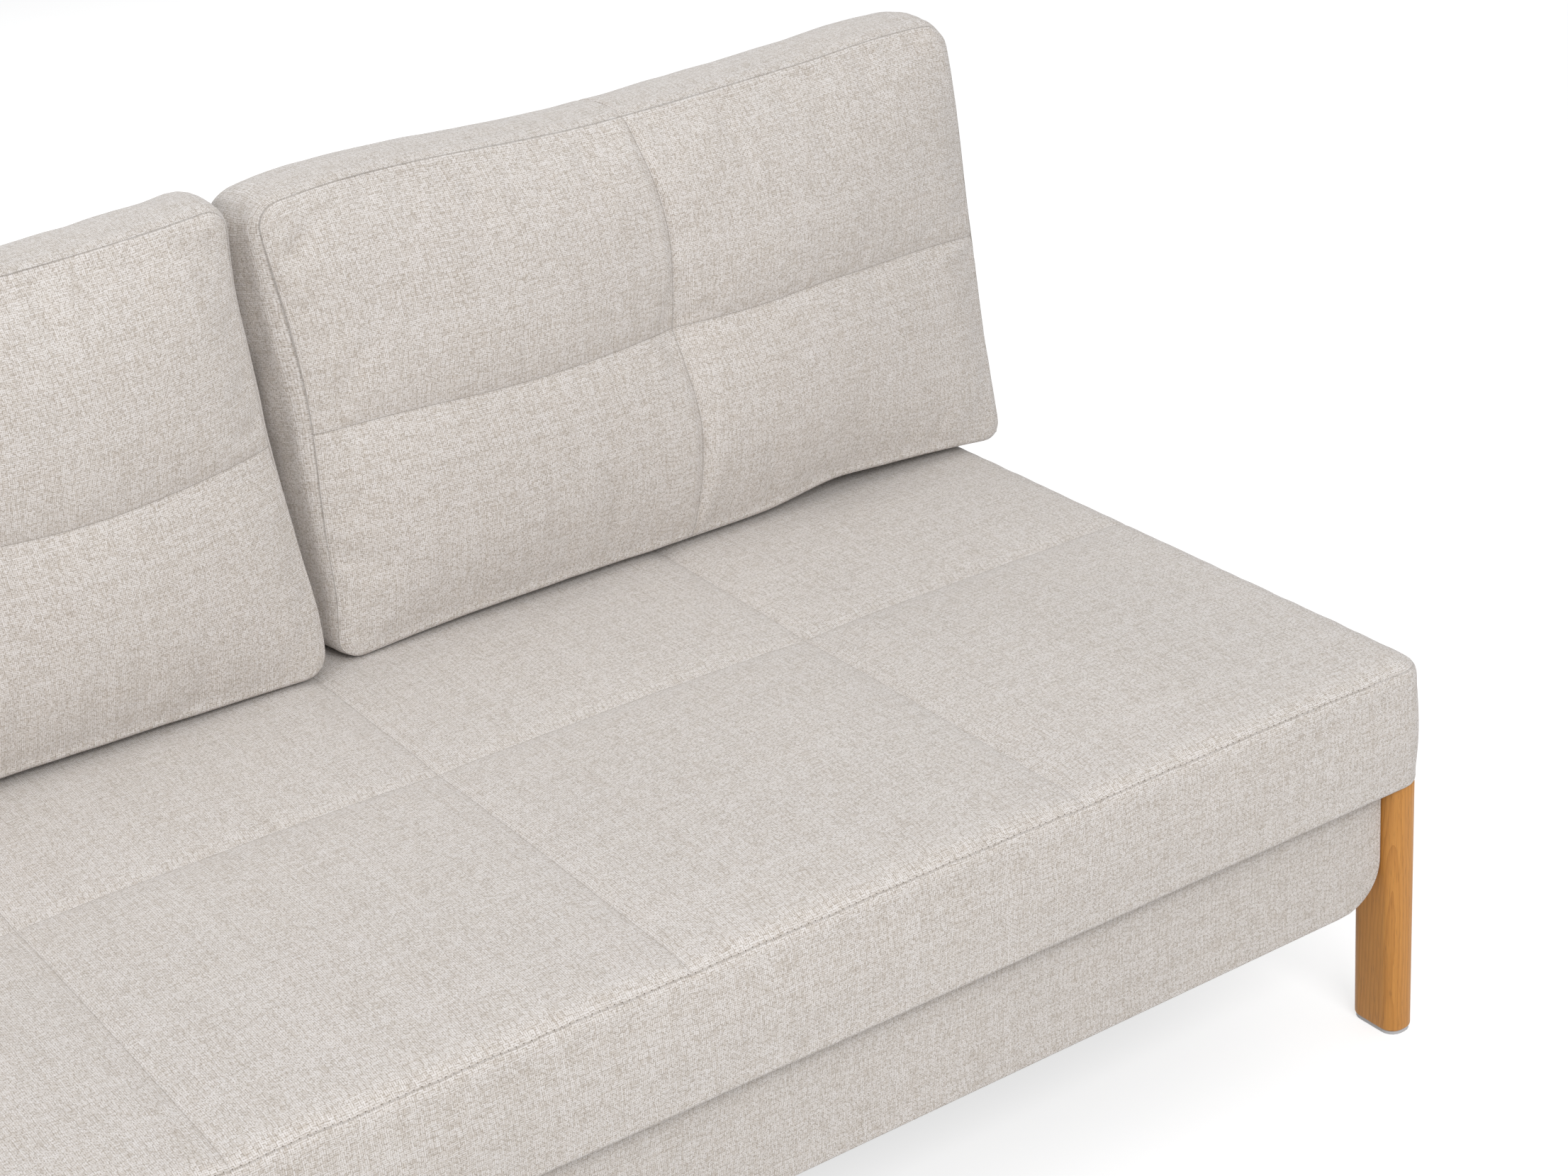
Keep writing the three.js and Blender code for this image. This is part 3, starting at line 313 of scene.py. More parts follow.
def sewn_body(name, flat, face, rings, material, face_seam_and_painted_shade=None, back=None):
    """A cover sewn from a face, rings of border round it and a back, with its cloth map in metres.
    flat has the face's own cloth places, face its points, and each ring its points and its shade: dark seam lines
    and, in places, painted shade."""
    rows, columns = face.shape[:2]
    index = np.arange(rows * columns).reshape(rows, columns)
    points = [face.reshape(-1, 3)]
    shades = [np.zeros(rows * columns) if face_seam_and_painted_shade is None else face_seam_and_painted_shade.ravel()]
    quads, bolts = [], []

    def add_grid(numbers, turned):
        corners = [numbers[:-1, :-1], numbers[:-1, 1:], numbers[1:, 1:], numbers[1:, :-1]]
        cloth = [flat[:-1, :-1], flat[:-1, 1:], flat[1:, 1:], flat[1:, :-1]]
        order = [3, 2, 1, 0] if turned else [0, 1, 2, 3]
        quads.append(np.stack([corners[k] for k in order], -1).reshape(-1, 4))
        bolts.append(np.stack([cloth[k] for k in order], -2).reshape(-1, 4, 2))

    add_grid(index, False)
    rim = rim_of(index)
    rim_flat = rim_of(flat)
    along = np.concatenate([[0], np.cumsum(np.linalg.norm(np.roll(rim_flat, -1, 0) - rim_flat, axis=1))])
    last, last_points, count, run = rim, face.reshape(-1, 3)[rim], rows * columns, 0.0
    for ring, shade in rings:
        new = np.arange(len(rim)) + count
        step = float(np.median(np.linalg.norm(ring - last_points, axis=1)))
        quads.append(np.stack([last, new, np.roll(new, -1), np.roll(last, -1)], 1))
        a, b = along[:-1], along[1:]
        bolts.append(np.stack([np.stack([a, 0 * a - run], 1), np.stack([a, 0 * a - run - step], 1),
                               np.stack([b, 0 * b - run - step], 1), np.stack([b, 0 * b - run], 1)], 1))
        points.append(ring)
        shades.append(np.broadcast_to(shade, len(rim)))
        last, last_points, count, run = new, ring, count + len(rim), run + step
    if back is not None:
        numbers = np.empty((rows, columns), int)
        numbers[1:-1, 1:-1] = (np.arange((rows - 2) * (columns - 2)) + count).reshape(rows - 2, columns - 2)
        sides = np.split(last, np.cumsum([columns - 1, rows - 1, columns - 1]))
        numbers[0, :-1], numbers[:-1, -1], numbers[-1, :0:-1], numbers[:0:-1, 0] = sides
        points.append(back[1:-1, 1:-1].reshape(-1, 3))
        shades.append(np.zeros((rows - 2) * (columns - 2)))
        add_grid(numbers, True)
    faces = [quad for group in quads for quad in group.tolist()]
    cloth = [group.reshape(-1, 2) for group in bolts]
    if back is None:
        faces.append(last[::-1].tolist())
        cloth.append(rim_flat[::-1])
    mesh = bpy.data.meshes.new(name)
    mesh.from_pydata(np.concatenate(points).tolist(), [], faces)
    mesh.uv_layers.new(name="bolt").data.foreach_set("uv", np.concatenate(cloth).astype(np.float32).ravel())
    # This point attribute holds the seam lines and the painted shade.
    mesh.attributes.new("seam", "FLOAT", "POINT").data.foreach_set(
        "value", np.concatenate(shades).astype(np.float32))
    mesh.polygons.foreach_set("use_smooth", [True] * len(mesh.polygons))
    mesh.materials.append(material)
    mesh.update()
    return add_object(name, mesh)


def read_out(items, field, width=3, kind=np.float32):
    """One value of a mesh's points, corners or faces, a row for each."""
    values = np.empty(len(items) * width, kind)
    items.foreach_get(field, values)
    return values.reshape(-1, width)


def as_modified(item):
    return item.evaluated_get(bpy.context.evaluated_depsgraph_get())


def read_evenly(places, count):
    """Weights that read a row of evenly spaced values, smoothly, at other places from 0 to 1."""
    at = np.clip(places, 0, 1) * (count - 1)
    first = np.clip(at.astype(int), 0, count - 2)
    t = at - first
    weights = np.zeros((len(at), count))
    shares = [-0.5 * t + t ** 2 - 0.5 * t ** 3, 1 - 2.5 * t ** 2 + 1.5 * t ** 3,
              0.5 * t + 2 * t ** 2 - 1.5 * t ** 3, -0.5 * t ** 2 + 0.5 * t ** 3]
    for step, share in enumerate(shares):
        np.add.at(weights, (np.arange(len(at)), np.clip(first + step - 1, 0, count - 1)), share)
    return weights


def pressed_out(panel, sewn, pressure, slack, most):
    """How far each point of an evenly spaced panel of cloth moves when its filling presses it out against
    the sewn lines: a short cloth simulation, with every move kept under a limit."""
    rows, columns = panel.shape[:2]
    index = np.arange(rows * columns).reshape(rows, columns)
    quads = np.stack([index[:-1, :-1], index[:-1, 1:], index[1:, 1:], index[1:, :-1]], -1).reshape(-1, 4)
    mesh = bpy.data.meshes.new("panel_form")
    mesh.from_pydata(panel.reshape(-1, 3).tolist(), [], quads.tolist())
    form = add_object("panel_form", mesh)
    held = form.vertex_groups.new(name="sewn")
    held.add(index[sewn].tolist(), 1.0, "REPLACE")
    filling = form.modifiers.new("filling", "CLOTH")
    cloth = filling.settings
    cloth.quality, cloth.mass, cloth.vertex_group_mass = 5, 0.35, "sewn"
    cloth.tension_stiffness, cloth.compression_stiffness, cloth.shear_stiffness = 18, 18, 6
    cloth.bending_stiffness, cloth.air_damping = 0.35, 3
    cloth.use_pressure, cloth.uniform_pressure_force = True, pressure
    cloth.shrink_min = -slack
    cloth.effector_weights.gravity = 0
    filling.collision_settings.use_collision = filling.collision_settings.use_self_collision = False
    last_step = 20
    filling.point_cache.frame_start, filling.point_cache.frame_end = 1, last_step
    for step in range(1, last_step + 1):
        scene.frame_set(step)
    places = read_out(as_modified(form).to_mesh().vertices, "co")
    bpy.data.objects.remove(form)
    scene.frame_set(1)
    move = places.reshape(panel.shape) - panel
    length = np.linalg.norm(move, axis=-1, keepdims=True)
    return move * np.tanh(length / most) * most / np.maximum(length, 1e-9)


def fade(distance, reach, power=1):
    """One at a line and less away from it, dying out past its reach."""
    return np.exp(-(np.abs(distance) / reach) ** power)


def dome(x, y, power):
    """One in the middle of a square of -1 to 1 and nothing at its edges; a great power makes it flat."""
    return (1 - np.abs(x) ** power) * (1 - np.abs(y) ** power)


def settled_cloth(form, low, high, panels, steps, places, pressure, slack, most):
    """How far a quilted face moves at the places of its own grid. The simulation runs on an even grid
    with a number of steps to each panel, held along the seams."""
    counts = [panels[k] * steps[k] + 1 for k in (0, 1)]
    even_x, even_y = np.meshgrid(*[np.linspace(low[k], high[k], counts[k]) for k in (0, 1)])
    sewn = np.zeros(even_x.shape, bool)
    sewn[::steps[1], :] = sewn[:, ::steps[0]] = True
    moves = pressed_out(form(even_x, even_y), sewn, pressure, slack, most)
    read_x, read_y = [read_evenly((places[k] - low[k]) / (high[k] - low[k]), counts[k]) for k in (0, 1)]
    return np.stack([read_y @ moves[:, :, k] @ read_x.T for k in range(3)], -1)


def stand_in(piece, body, slot, *replaced):
    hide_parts(*replaced)
    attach(piece, body)


def upholster(piece, body, replaced):
    stand_in(piece, body, "woven_fabric", replaced)


panels_along, panels_deep = 4, 2
beside_seam, seat_coarsest = 0.0009, 0.0095
seat_x = seam_spaced(2 * seat_half, panels_along, beside_seam, seat_coarsest)
seat_y = seam_spaced(seat_depth, panels_deep, beside_seam, seat_coarsest)
along_x, along_y = np.meshgrid(seat_x, seat_y)
seat_flat = np.stack([along_x, along_y], -1)
seam_top, edge_inset, corner_round = 0.4415, 0.005, 0.026
in_half_x, in_half_y = seat_half - edge_inset, seat_depth / 2 - edge_inset
panel_x, panel_y = 2 * seat_half / panels_along, seat_depth / panels_deep


def seat_form(along_x, along_y):
    """The quilted top as it is cut and stuffed, before the cloth settles."""
    plan_x, plan_y = round_corners((along_x - seat_half) * in_half_x / seat_half,
                                   (along_y - seat_depth / 2) * in_half_y / (seat_depth / 2),
                                   in_half_x, in_half_y, corner_round)
    across = np.abs(np.mod(along_x / panel_x, 1.0) * 2 - 1)
    deep = np.abs(np.mod(along_y / panel_y, 1.0) * 2 - 1)
    puffed = 0.0055 * dome(across, deep, 2.2)
    between_tufts = 0.0085 * (1 - 0.2 * across ** 2 * deep ** 2)
    return np.stack([plan_x + seat_middle, plan_y + seat_centre_y, seam_top + puffed + between_tufts], -1)


seat_face = seat_form(along_x, along_y)
seat_face = seat_face + settled_cloth(seat_form, (0, 0), (2 * seat_half, seat_depth),
                                      (panels_along, panels_deep), (28, 30), (seat_x, seat_y),
                                      pressure=2.0, slack=0.004, most=0.0035)
plan_x, plan_y = seat_face[:, :, 0] - seat_middle, seat_face[:, :, 1] - seat_centre_y
to_cross = np.abs(along_x / panel_x - np.clip(np.round(along_x / panel_x), 1, 3)) * panel_x
to_long = np.abs(along_y - panel_y)
to_seam = np.minimum(to_cross, to_long)
to_edge = np.minimum(np.minimum(along_y, seat_depth - along_y), np.minimum(along_x, 2 * seat_half - along_x))
pull_cross = ripples(np.stack([to_cross * 0.4, along_y], -1), 34, 1.7) * fade(to_cross, 0.030)
pull_long = ripples(np.stack([along_x, to_long * 0.4], -1), 34, 5.1) * fade(to_long, 0.030)
pucker = ripples(seat_flat, 46, 9.4) * fade(to_edge, 0.035)
pucker += 1.2 * ripples(np.stack([along_x, along_y * 0.25], -1), 52, 4.4) * fade(along_y, 0.045)
gathers = 0.0008 * (pull_cross + pull_long + 1.1 * pucker)
seat_top = seat_face[:, :, 2] + gathers + 0.0015 * ripples(seat_flat, 4.5, 3.3)
to_tuft = np.hypot(to_cross, to_long)
seat_top -= 0.0006 * fade(to_seam, 0.0028, 2) + 0.0018 * fade(to_tuft, 0.030, 1.3)
seat_top -= 0.0052 * fade(to_edge, 0.0080, 1.5)
cushions_from, resting_top, highest_top = 0.690, 0.4545, 0.4618
pressed_flat = np.clip((along_y - cushions_from) / 0.045, 0, 1) ** 2
seat_top = np.where(seat_top > resting_top, seat_top + (resting_top - seat_top) * pressed_flat, seat_top)
seat_top = np.minimum(seat_top, highest_top)
seat_face = np.stack([plan_x + seat_middle, plan_y + seat_centre_y, seat_top], -1)

seat_rim = rim_of(np.stack([plan_x, plan_y], -1))
seat_out = outward(seat_rim[:, 0], seat_rim[:, 1], in_half_x, in_half_y, corner_round)
rim_top = rim_of(seat_top)
rim_run = rim_of(seat_flat)


def seat_ring(out, height):
    ring = seat_rim + seat_out * np.reshape(out, (-1, 1))
    heights = np.broadcast_to(height, len(ring))
    return np.column_stack([ring[:, 0] + seat_middle, ring[:, 1] + seat_centre_y, heights])


# A rolled edge under the topstitching, the border with a slight belly, then the hem turned under.
# Each ring has how far out it lies, how far down or up, and its shade: a seam line at the topstitching, and
# painted shade on the hem's underside.
border_depth = 0.118
border = [(0.0003, -0.0007, 0.5), (0.0014, -0.0020, 0.0), (0.0030, -0.0044, 0.0), (0.0041, -0.0085, 0.0),
          (0.0047, -0.0150, 0.0), (0.0049, -0.0230, 0.0)]
border += [(0.0050 + 0.0022 * math.sin(math.pi * s), -0.023 - 0.095 * s, 0.0) for s in np.linspace(0.07, 1, 14)]
seat_rings = []
for out, drop, shade in border:
    depth = min(-drop / border_depth, 1)
    belly = 0.0016 * math.sin(math.pi * depth) ** 0.8 * ripples(rim_run + drop, 5.5, 2.2)
    fine = 0.0005 * math.exp(-depth * 6) * ripples(rim_run, 40, 7.2)
    height = rim_top * (1 - depth) + seam_top * depth + drop
    seat_rings.append((seat_ring(np.minimum(out + belly + fine, edge_inset + 0.004), height), shade))
hem_bottom = 0.3078 + 0.0006 * ripples(rim_run, 9, 6.1)
# Painted shade: the hem's lower and inner rings are darkened, a dark line standing for the shadow in the gap under
# the seat's hem.
hem = [(0.0050, 0.0100, 0.0), (0.0050, 0.0062, 0.0), (0.0047, 0.0034, 0.0), (0.0038, 0.0012, 0.2),
       (0.0024, 0.0, 1.0), (0.0012, 0.0006, 1.0), (0.0004, 0.0024, 1.0), (-0.0010, 0.0034, 1.0)]
seat_rings += [(seat_ring(out, hem_bottom + above), shade) for out, above, shade in hem]
inside = [(-0.017, 0.3118), (-0.0192, 0.3145), (-0.0192, 0.4003)]
seat_rings += [(seat_ring(out, height), 0.0) for out, height in inside]
seat_cover = sewn_body("seat_cover", seat_flat, seat_face, seat_rings, upholstery,
                       0.38 * fade(to_seam, 0.0007, 2))
upholster(seat_cover, "seat", "seat_pad")


def twisted_yarn(name, light, dark):
    """Sewing thread: fine plies wound round each other, with a slight shine."""
    material, tree = new_material(name)
    place = add_node(tree, "ShaderNodeTexCoord").outputs["Object"]
    plies = add_node(tree, "ShaderNodeTexWave", {"Vector": place, "Scale": 900.0, "Distortion": 2.0,
                                                 "Detail": 1.0}, bands_direction="DIAGONAL").outputs["Fac"]
    surface(tree, mixed(tree, plies, dark, light), 0.7, plies, 0.0002, Sheen_Weight=0.2)
    return material


thread = twisted_yarn("sewing_thread", (0.62, 0.56, 0.50), (0.44, 0.38, 0.32))
pale_thread = twisted_yarn("pale_thread", (0.72, 0.67, 0.62), (0.58, 0.52, 0.46))
# Very dark beads for the needle holes: painted shade standing for the shadow inside each hole.
needle_holes = twisted_yarn("needle_holes", (0.20, 0.16, 0.12), (0.12, 0.095, 0.07))


def sewn_along(name, lines, body, finish, spacing, length, thickness, seed):
    """A row of stitches on each line of points, laid by a node tree and kept as one plain mesh."""
    tree = bpy.data.node_groups.new(name, "GeometryNodeTree")
    tree.interface.new_socket("Seam lines", in_out="INPUT", socket_type="NodeSocketGeometry")
    settings = {"Spacing": spacing, "Length": length, "Thickness": thickness}
    sockets = {label: tree.interface.new_socket(label, in_out="INPUT", socket_type="NodeSocketFloat")
               for label in settings}
    tree.interface.new_socket("Stitches", in_out="OUTPUT", socket_type="NodeSocketGeometry")
    given = add_node(tree, "NodeGroupInput").outputs
    curve = add_node(tree, "GeometryNodeMeshToCurve", {"Mesh": given["Seam lines"]}).outputs["Curve"]
    spaced = add_node(tree, "GeometryNodeResampleCurve", {"Curve": curve, "Length": given["Spacing"]},
                      mode="LENGTH").outputs["Curve"]
    marks = add_node(tree, "GeometryNodeCurveToPoints", {"Curve": spaced}, mode="EVALUATED").outputs
    turned = add_node(tree, "FunctionNodeAlignRotationToVector", {"Vector": marks["Tangent"]}, axis="X").outputs[0]
    bead = add_node(tree, "GeometryNodeMeshUVSphere", {"Segments": 8, "Rings": 5, "Radius": 0.5}).outputs["Mesh"]
    uneven = add_node(tree, "FunctionNodeRandomValue", {2: 0.82, 3: 1.08, "Seed": seed},
                      data_type="FLOAT").outputs[1]
    long = sums_in(tree)("MULTIPLY", given["Length"], uneven)
    thick = given["Thickness"]
    size = add_node(tree, "ShaderNodeCombineXYZ", {0: long, 1: thick, 2: thick}).outputs[0]
    laid = add_node(tree, "GeometryNodeInstanceOnPoints", {"Points": marks["Points"], "Instance": bead,
                                                           "Rotation": turned, "Scale": size}).outputs[0]
    solid = add_node(tree, "GeometryNodeRealizeInstances", {0: laid}).outputs[0]
    coloured = add_node(tree, "GeometryNodeSetMaterial", {"Geometry": solid, "Material": finish}).outputs[0]
    add_node(tree, "NodeGroupOutput", {0: coloured})
    points = [tuple(point) for line in lines for point in line]
    starts = np.cumsum([0] + [len(line) for line in lines])
    edges = [(k, k + 1) for first, last in zip(starts[:-1], starts[1:]) for k in range(first, last - 1)]
    mesh = bpy.data.meshes.new(name)
    mesh.from_pydata(points, edges, [])
    rows = add_object(name, mesh)
    sewing = rows.modifiers.new("sewing", "NODES")
    sewing.node_group = tree
    for label, value in settings.items():
        sewing[sockets[label].identifier] = value
    made = bpy.data.meshes.new_from_object(as_modified(rows))
    rows.modifiers.remove(sewing)
    rows.data = made
    made.polygons.foreach_set("use_smooth", [True] * len(made.polygons))
    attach(rows, body)


raised = np.array([0, 0, 0.0001])
fine_seam = {"spacing": 0.0036, "length": 0.0024, "thickness": 0.0003}
seam_columns = [int(np.abs(seat_x - k * panel_x).argmin()) for k in (1, 2, 3)]
seam_row = int(np.abs(seat_y - panel_y).argmin())
before_cushions = int(np.abs(seat_y - 0.80).argmin())
cross_lines = [seat_face[2:before_cushions, column] + raised for column in seam_columns]
sewn_along("seat_cross_stitches", cross_lines + [seat_face[seam_row, 2:-2] + raised], "seat", thread,
           **fine_seam, seed=3)
front_line, front_spacing = seat_face[0, 12:-12] + raised, 0.0076
between = np.array([front_spacing / 2, 0, 0])
sewn_along("seat_front_topstitches", [front_line], "seat", pale_thread, front_spacing, 0.0058, 0.0006, 5)
# Dark beads between the topstitches: painted shade for the shadow in the needle holes.
sewn_along("seat_front_needle_hole_shade", [front_line + between], "seat", needle_holes, front_spacing, 0.0013,
           0.0011, 7)

# ---- Loose back cushions: boxed foam cushions that lean on the backrest. Each face and its top border
# are pieced from four panels, and the foam inside puffs them between the seams.
back_tilt = math.radians(8)
pivot_y, pivot_z = 0.45255, 0.400


def leaning(x, behind, height):
    """Points given across, behind and along the tilted backrest, from the pivot line."""
    y = pivot_y + height * math.sin(back_tilt) + behind * math.cos(back_tilt)
    z = pivot_z + height * math.cos(back_tilt) - behind * math.sin(back_tilt)
    return np.stack([x, y, z], -1)


def flowing(places, knots):
    """A smooth line through knots (place, value)."""
    at, values = np.array(knots, float).T
    slopes = np.gradient(values, at)
    k = np.clip(np.searchsorted(at, places) - 1, 0, len(at) - 2)
    span = at[k + 1] - at[k]
    t = np.clip((places - at[k]) / span, 0, 1)
    return ((2 * t ** 3 - 3 * t ** 2 + 1) * values[k] + (t ** 3 - 2 * t ** 2 + t) * span * slopes[k]
            + (3 * t ** 2 - 2 * t ** 3) * values[k + 1] + (t ** 3 - t ** 2) * span * slopes[k + 1])


def back_cushion(side_name, centre, forward, left_side, right_side, top_side, left_swell, right_swell,
                 seam_lean, seam_sag, lift, creases, seed):
    """A boxed cushion. Its sides and their swell are lines of (height, reach), its top one of (across, height),
    its cross seam leans and sags along lines of its own, and its lower edge lifts off the seat along one.
    Each crease has its place, its angle, how long and wide it runs, and its depth."""
    half_width, half_height, corner, thick = 0.443, 0.252, 0.025, 0.125
    grid_x = seam_spaced(2 * half_width, 2, beside_seam, 0.0085) - half_width
    grid_up = seam_spaced(2 * half_height, 2, beside_seam, 0.0085) - half_height
    x, up = np.meshgrid(grid_x, grid_up)
    flat = np.stack([x + seed * 3.0, up], -1)
    front, rear, rear_limit = -0.250 - forward, -0.125 - forward, -0.0785
    seat_level, lowest, highest = 0.4562, 0.02, 0.53

    def placed(share_x, share_up, behind, out=None, swell=0.0):
        bottom = (seat_level - pivot_z + behind * math.sin(back_tilt)) / math.cos(back_tilt)
        bottom = bottom + flowing(share_x, lift)
        tall = flowing(share_x, top_side) - bottom
        height = bottom + tall * (share_up + 1) / 2
        measure = np.clip(height, lowest, highest)
        reach = np.where(share_x > 0, flowing(measure, right_side), flowing(measure, left_side))
        place_x = centre + share_x * half_width + reach * np.abs(share_x) ** 5
        if out is not None:
            side_swell = np.where(out[:, 0] < 0, flowing(measure, left_swell), flowing(measure, right_swell))
            place_x = place_x + out[:, 0] * swell * side_swell
            height = height + out[:, 1] * swell * np.where(out[:, 1] > 0, 0.016, 0.0006)
        return place_x, height

    def face_form(x, up):
        """The face as it is cut and stuffed: where it lies across and along, and how far it stands out."""
        round_x, round_up = round_corners(x, up, half_width, half_height, corner)
        share_x, share_up = round_x / half_width, round_up / half_height
        to_edge = np.minimum(half_width - np.abs(x), half_height - np.abs(up))
        panel_across, panel_up = np.abs(np.abs(share_x) * 2 - 1), np.abs(np.abs(share_up) * 2 - 1)
        bulge = 0.025 * dome(share_x, share_up, 3)
        bulge += 0.006 * dome(panel_across, panel_up, 2.4) + 0.0055 * (1 - fade(to_edge, 0.009))
        bulge -= 0.013 * fade(np.hypot(share_x * half_width, share_up * half_height), 0.085, 1.6)
        place_x, height = placed(share_x, share_up, front)
        place_x = place_x + (1 - share_x ** 2) * flowing(share_up, seam_lean)
        height = height + (1 - share_up ** 2) * flowing(share_x, seam_sag)
        return place_x, height, bulge

    def face_points(x, up):
        place_x, height, bulge = face_form(x, up)
        return leaning(place_x, front - bulge, height)

    settled = settled_cloth(
        face_points, (-half_width, -half_height), (half_width, half_height), (2, 2), (38, 22), (grid_x, grid_up),
        pressure=3.0, slack=0.010, most=0.008)
    place_x, height, bulge = face_form(x, up)
    to_seam = np.minimum(np.abs(x), np.abs(up))
    to_edge = np.minimum(half_width - np.abs(x), half_height - np.abs(up))
    near = fade(to_seam, 0.035) + 1.3 * fade(to_edge, 0.030)
    bulge += 0.0010 * near * ripples(flat, 30, seed) + 0.0030 * ripples(flat, 6.5, seed + 4)
    bulge += 0.0016 * fade(half_height + up - 0.0035, 0.0022, 2)
    bulge -= 0.0008 * fade(to_seam, 0.0026, 2) + 0.0065 * fade(np.hypot(x, up), 0.022, 1.3)
    bulge -= 0.0020 * fade(up, 0.018, 1.5) + 0.0009 * fade(x, 0.016, 1.5)
    for at_x, at_up, angle, long, wide, depth in creases:
        turn = math.radians(angle)
        off_x, off_up = place_x - at_x, height - at_up
        lengthwise = off_x * math.cos(turn) + off_up * math.sin(turn)
        sideways = off_up * math.cos(turn) - off_x * math.sin(turn)
        bulge -= depth * fade(lengthwise, long, 2) * fade(sideways, wide, 2)
    face = leaning(place_x, front - bulge, height) + settled

    round_x, round_up = round_corners(x, up, half_width, half_height, corner)
    rim_x, rim_up = rim_of(round_x), rim_of(round_up)
    out = outward(rim_x, rim_up, half_width, half_height, corner)
    rim_flat = rim_of(flat)
    on_top = fade(rim_x, 0.0020, 2) * (rim_up > 0)
    # Painted shade: a mask of the cushion's underside, darkened to stand for the shadow where it rests on the
    # seat.
    painted_underside_shade = np.clip((0.008 - half_height - rim_up) / 0.004, 0, 1)
    # Painted shade: a mask of the side facing the other cushion, whose rear part is darkened to stand for the
    # shadow in the crevice between them.
    beside = np.clip((math.copysign(1, -centre) * out[:, 0] - 0.6) / 0.3, 0, 1)
    # Rings of the border from face to rear: share of the thickness, share of the swell, seam shade
    border = [(0.005, 0.03, 0.7), (0.013, 0.09, 0.1), (0.030, 0.20, 0.0), (0.06, 0.36, 0.0), (0.10, 0.50, 0.0),
              (0.16, 0.58, 0.0), (0.24, 0.76, 0.0), (0.34, 0.90, 0.0), (0.45, 0.98, 0.0), (0.56, 1.0, 0.0),
              (0.67, 0.95, 0.0), (0.77, 0.82, 0.0), (0.86, 0.62, 0.0), (0.92, 0.44, 0.0), (0.96, 0.28, 0.0),
              (0.985, 0.10, 0.1), (0.994, 0.04, 0.7)]
    across, along = rim_x / half_width, rim_up / half_height
    rings = []
    for share, ease, shade in border:
        behind = front + thick * share
        wrinkled = 0.10 * ripples(rim_flat + share * 0.12, 20, seed + 2) * min(1, 8 * share)
        ring_x, ring_up = placed(across, along, behind, out, ease * (1 - 0.22 * on_top) + wrinkled)
        # Painted shade on the underside rings, for the shadow between cushion and seat.
        shade = np.maximum(shade, 0.9 * painted_underside_shade * (share > 0.05) * (share < 0.95))
        # Painted shade on the rear part of the inner side, for the shadow in the crevice between the cushions.
        shade = np.maximum(shade, 0.5 * beside * min(max(share - 0.4, 0) / 0.15, 1))
        rings.append((leaning(ring_x, behind, ring_up), shade))
    ring_x, ring_up = placed(across, along, rear)
    rings.append((leaning(ring_x, rear, ring_up), 0.0))
    share_x, share_up = round_x / half_width, round_up / half_height
    rear_x, rear_up = placed(share_x, share_up, rear)
    rear_bulge = (rear_limit - rear) * dome(share_x, share_up, 3)
    name = f"{side_name}_cushion_cover"
    piece = sewn_body(name, flat, face, rings, upholstery, 0.62 * fade(to_seam, 0.0007, 2),
                      leaning(rear_x, rear + rear_bulge, rear_up))
    middle_column, middle_row = int(np.abs(grid_x).argmin()), int(np.abs(grid_up).argmin())
    proud = leaning(0.0, -0.0001, 0.0) - leaning(0.0, 0.0, 0.0)
    sewn_along(f"{name}_stitches", [face[2:-2, middle_column] + proud, face[middle_row, 2:-2] + proud],
               f"{side_name}_cushion", thread, **fine_seam, seed=int(seed))
    upholster(piece, f"{side_name}_cushion", f"{side_name}_back_cushion")


back_cushion(
    "right", centre=0.467, forward=0.0, seed=1.0,
    left_side=[(0.02, -0.006), (0.033, -0.006), (0.093, 0.002), (0.169, 0.005), (0.209, 0.008), (0.292, 0.015),
               (0.374, 0.013), (0.468, 0.004), (0.53, -0.001)],
    right_side=[(0.02, 0.003), (0.10, 0.0), (0.30, 0.0), (0.50, 0.0), (0.53, -0.003)],
    top_side=[(-1, 0.519), (-0.9, 0.524), (-0.05, 0.518), (0.5, 0.525), (0.93, 0.532), (1, 0.530)],
    left_swell=[(0.02, 0.012), (0.06, 0.015), (0.17, 0.022), (0.29, 0.034), (0.40, 0.036), (0.53, 0.020)],
    right_swell=[(0.02, 0.006), (0.25, 0.009), (0.53, 0.007)],
    seam_lean=[(-1, 0.0), (-0.5, 0.021), (0, 0.015), (0.5, 0.021), (1, 0.0)],
    seam_sag=[(-1, 0.003), (-0.5, -0.008), (0, 0.001), (0.5, -0.002), (1, 0.0)],
    lift=[(-1, 0.0), (-0.75, 0.006), (-0.4, 0.009), (0, 0.008), (0.25, 0.010), (0.45, 0.020), (0.62, 0.016),
          (0.8, 0.011), (1, 0.002)],
    creases=[(0.06, 0.47, 30, 0.020, 0.012, 0.006), (0.09, 0.33, 55, 0.05, 0.012, 0.004),
             (0.06, 0.13, -20, 0.04, 0.012, 0.004)])
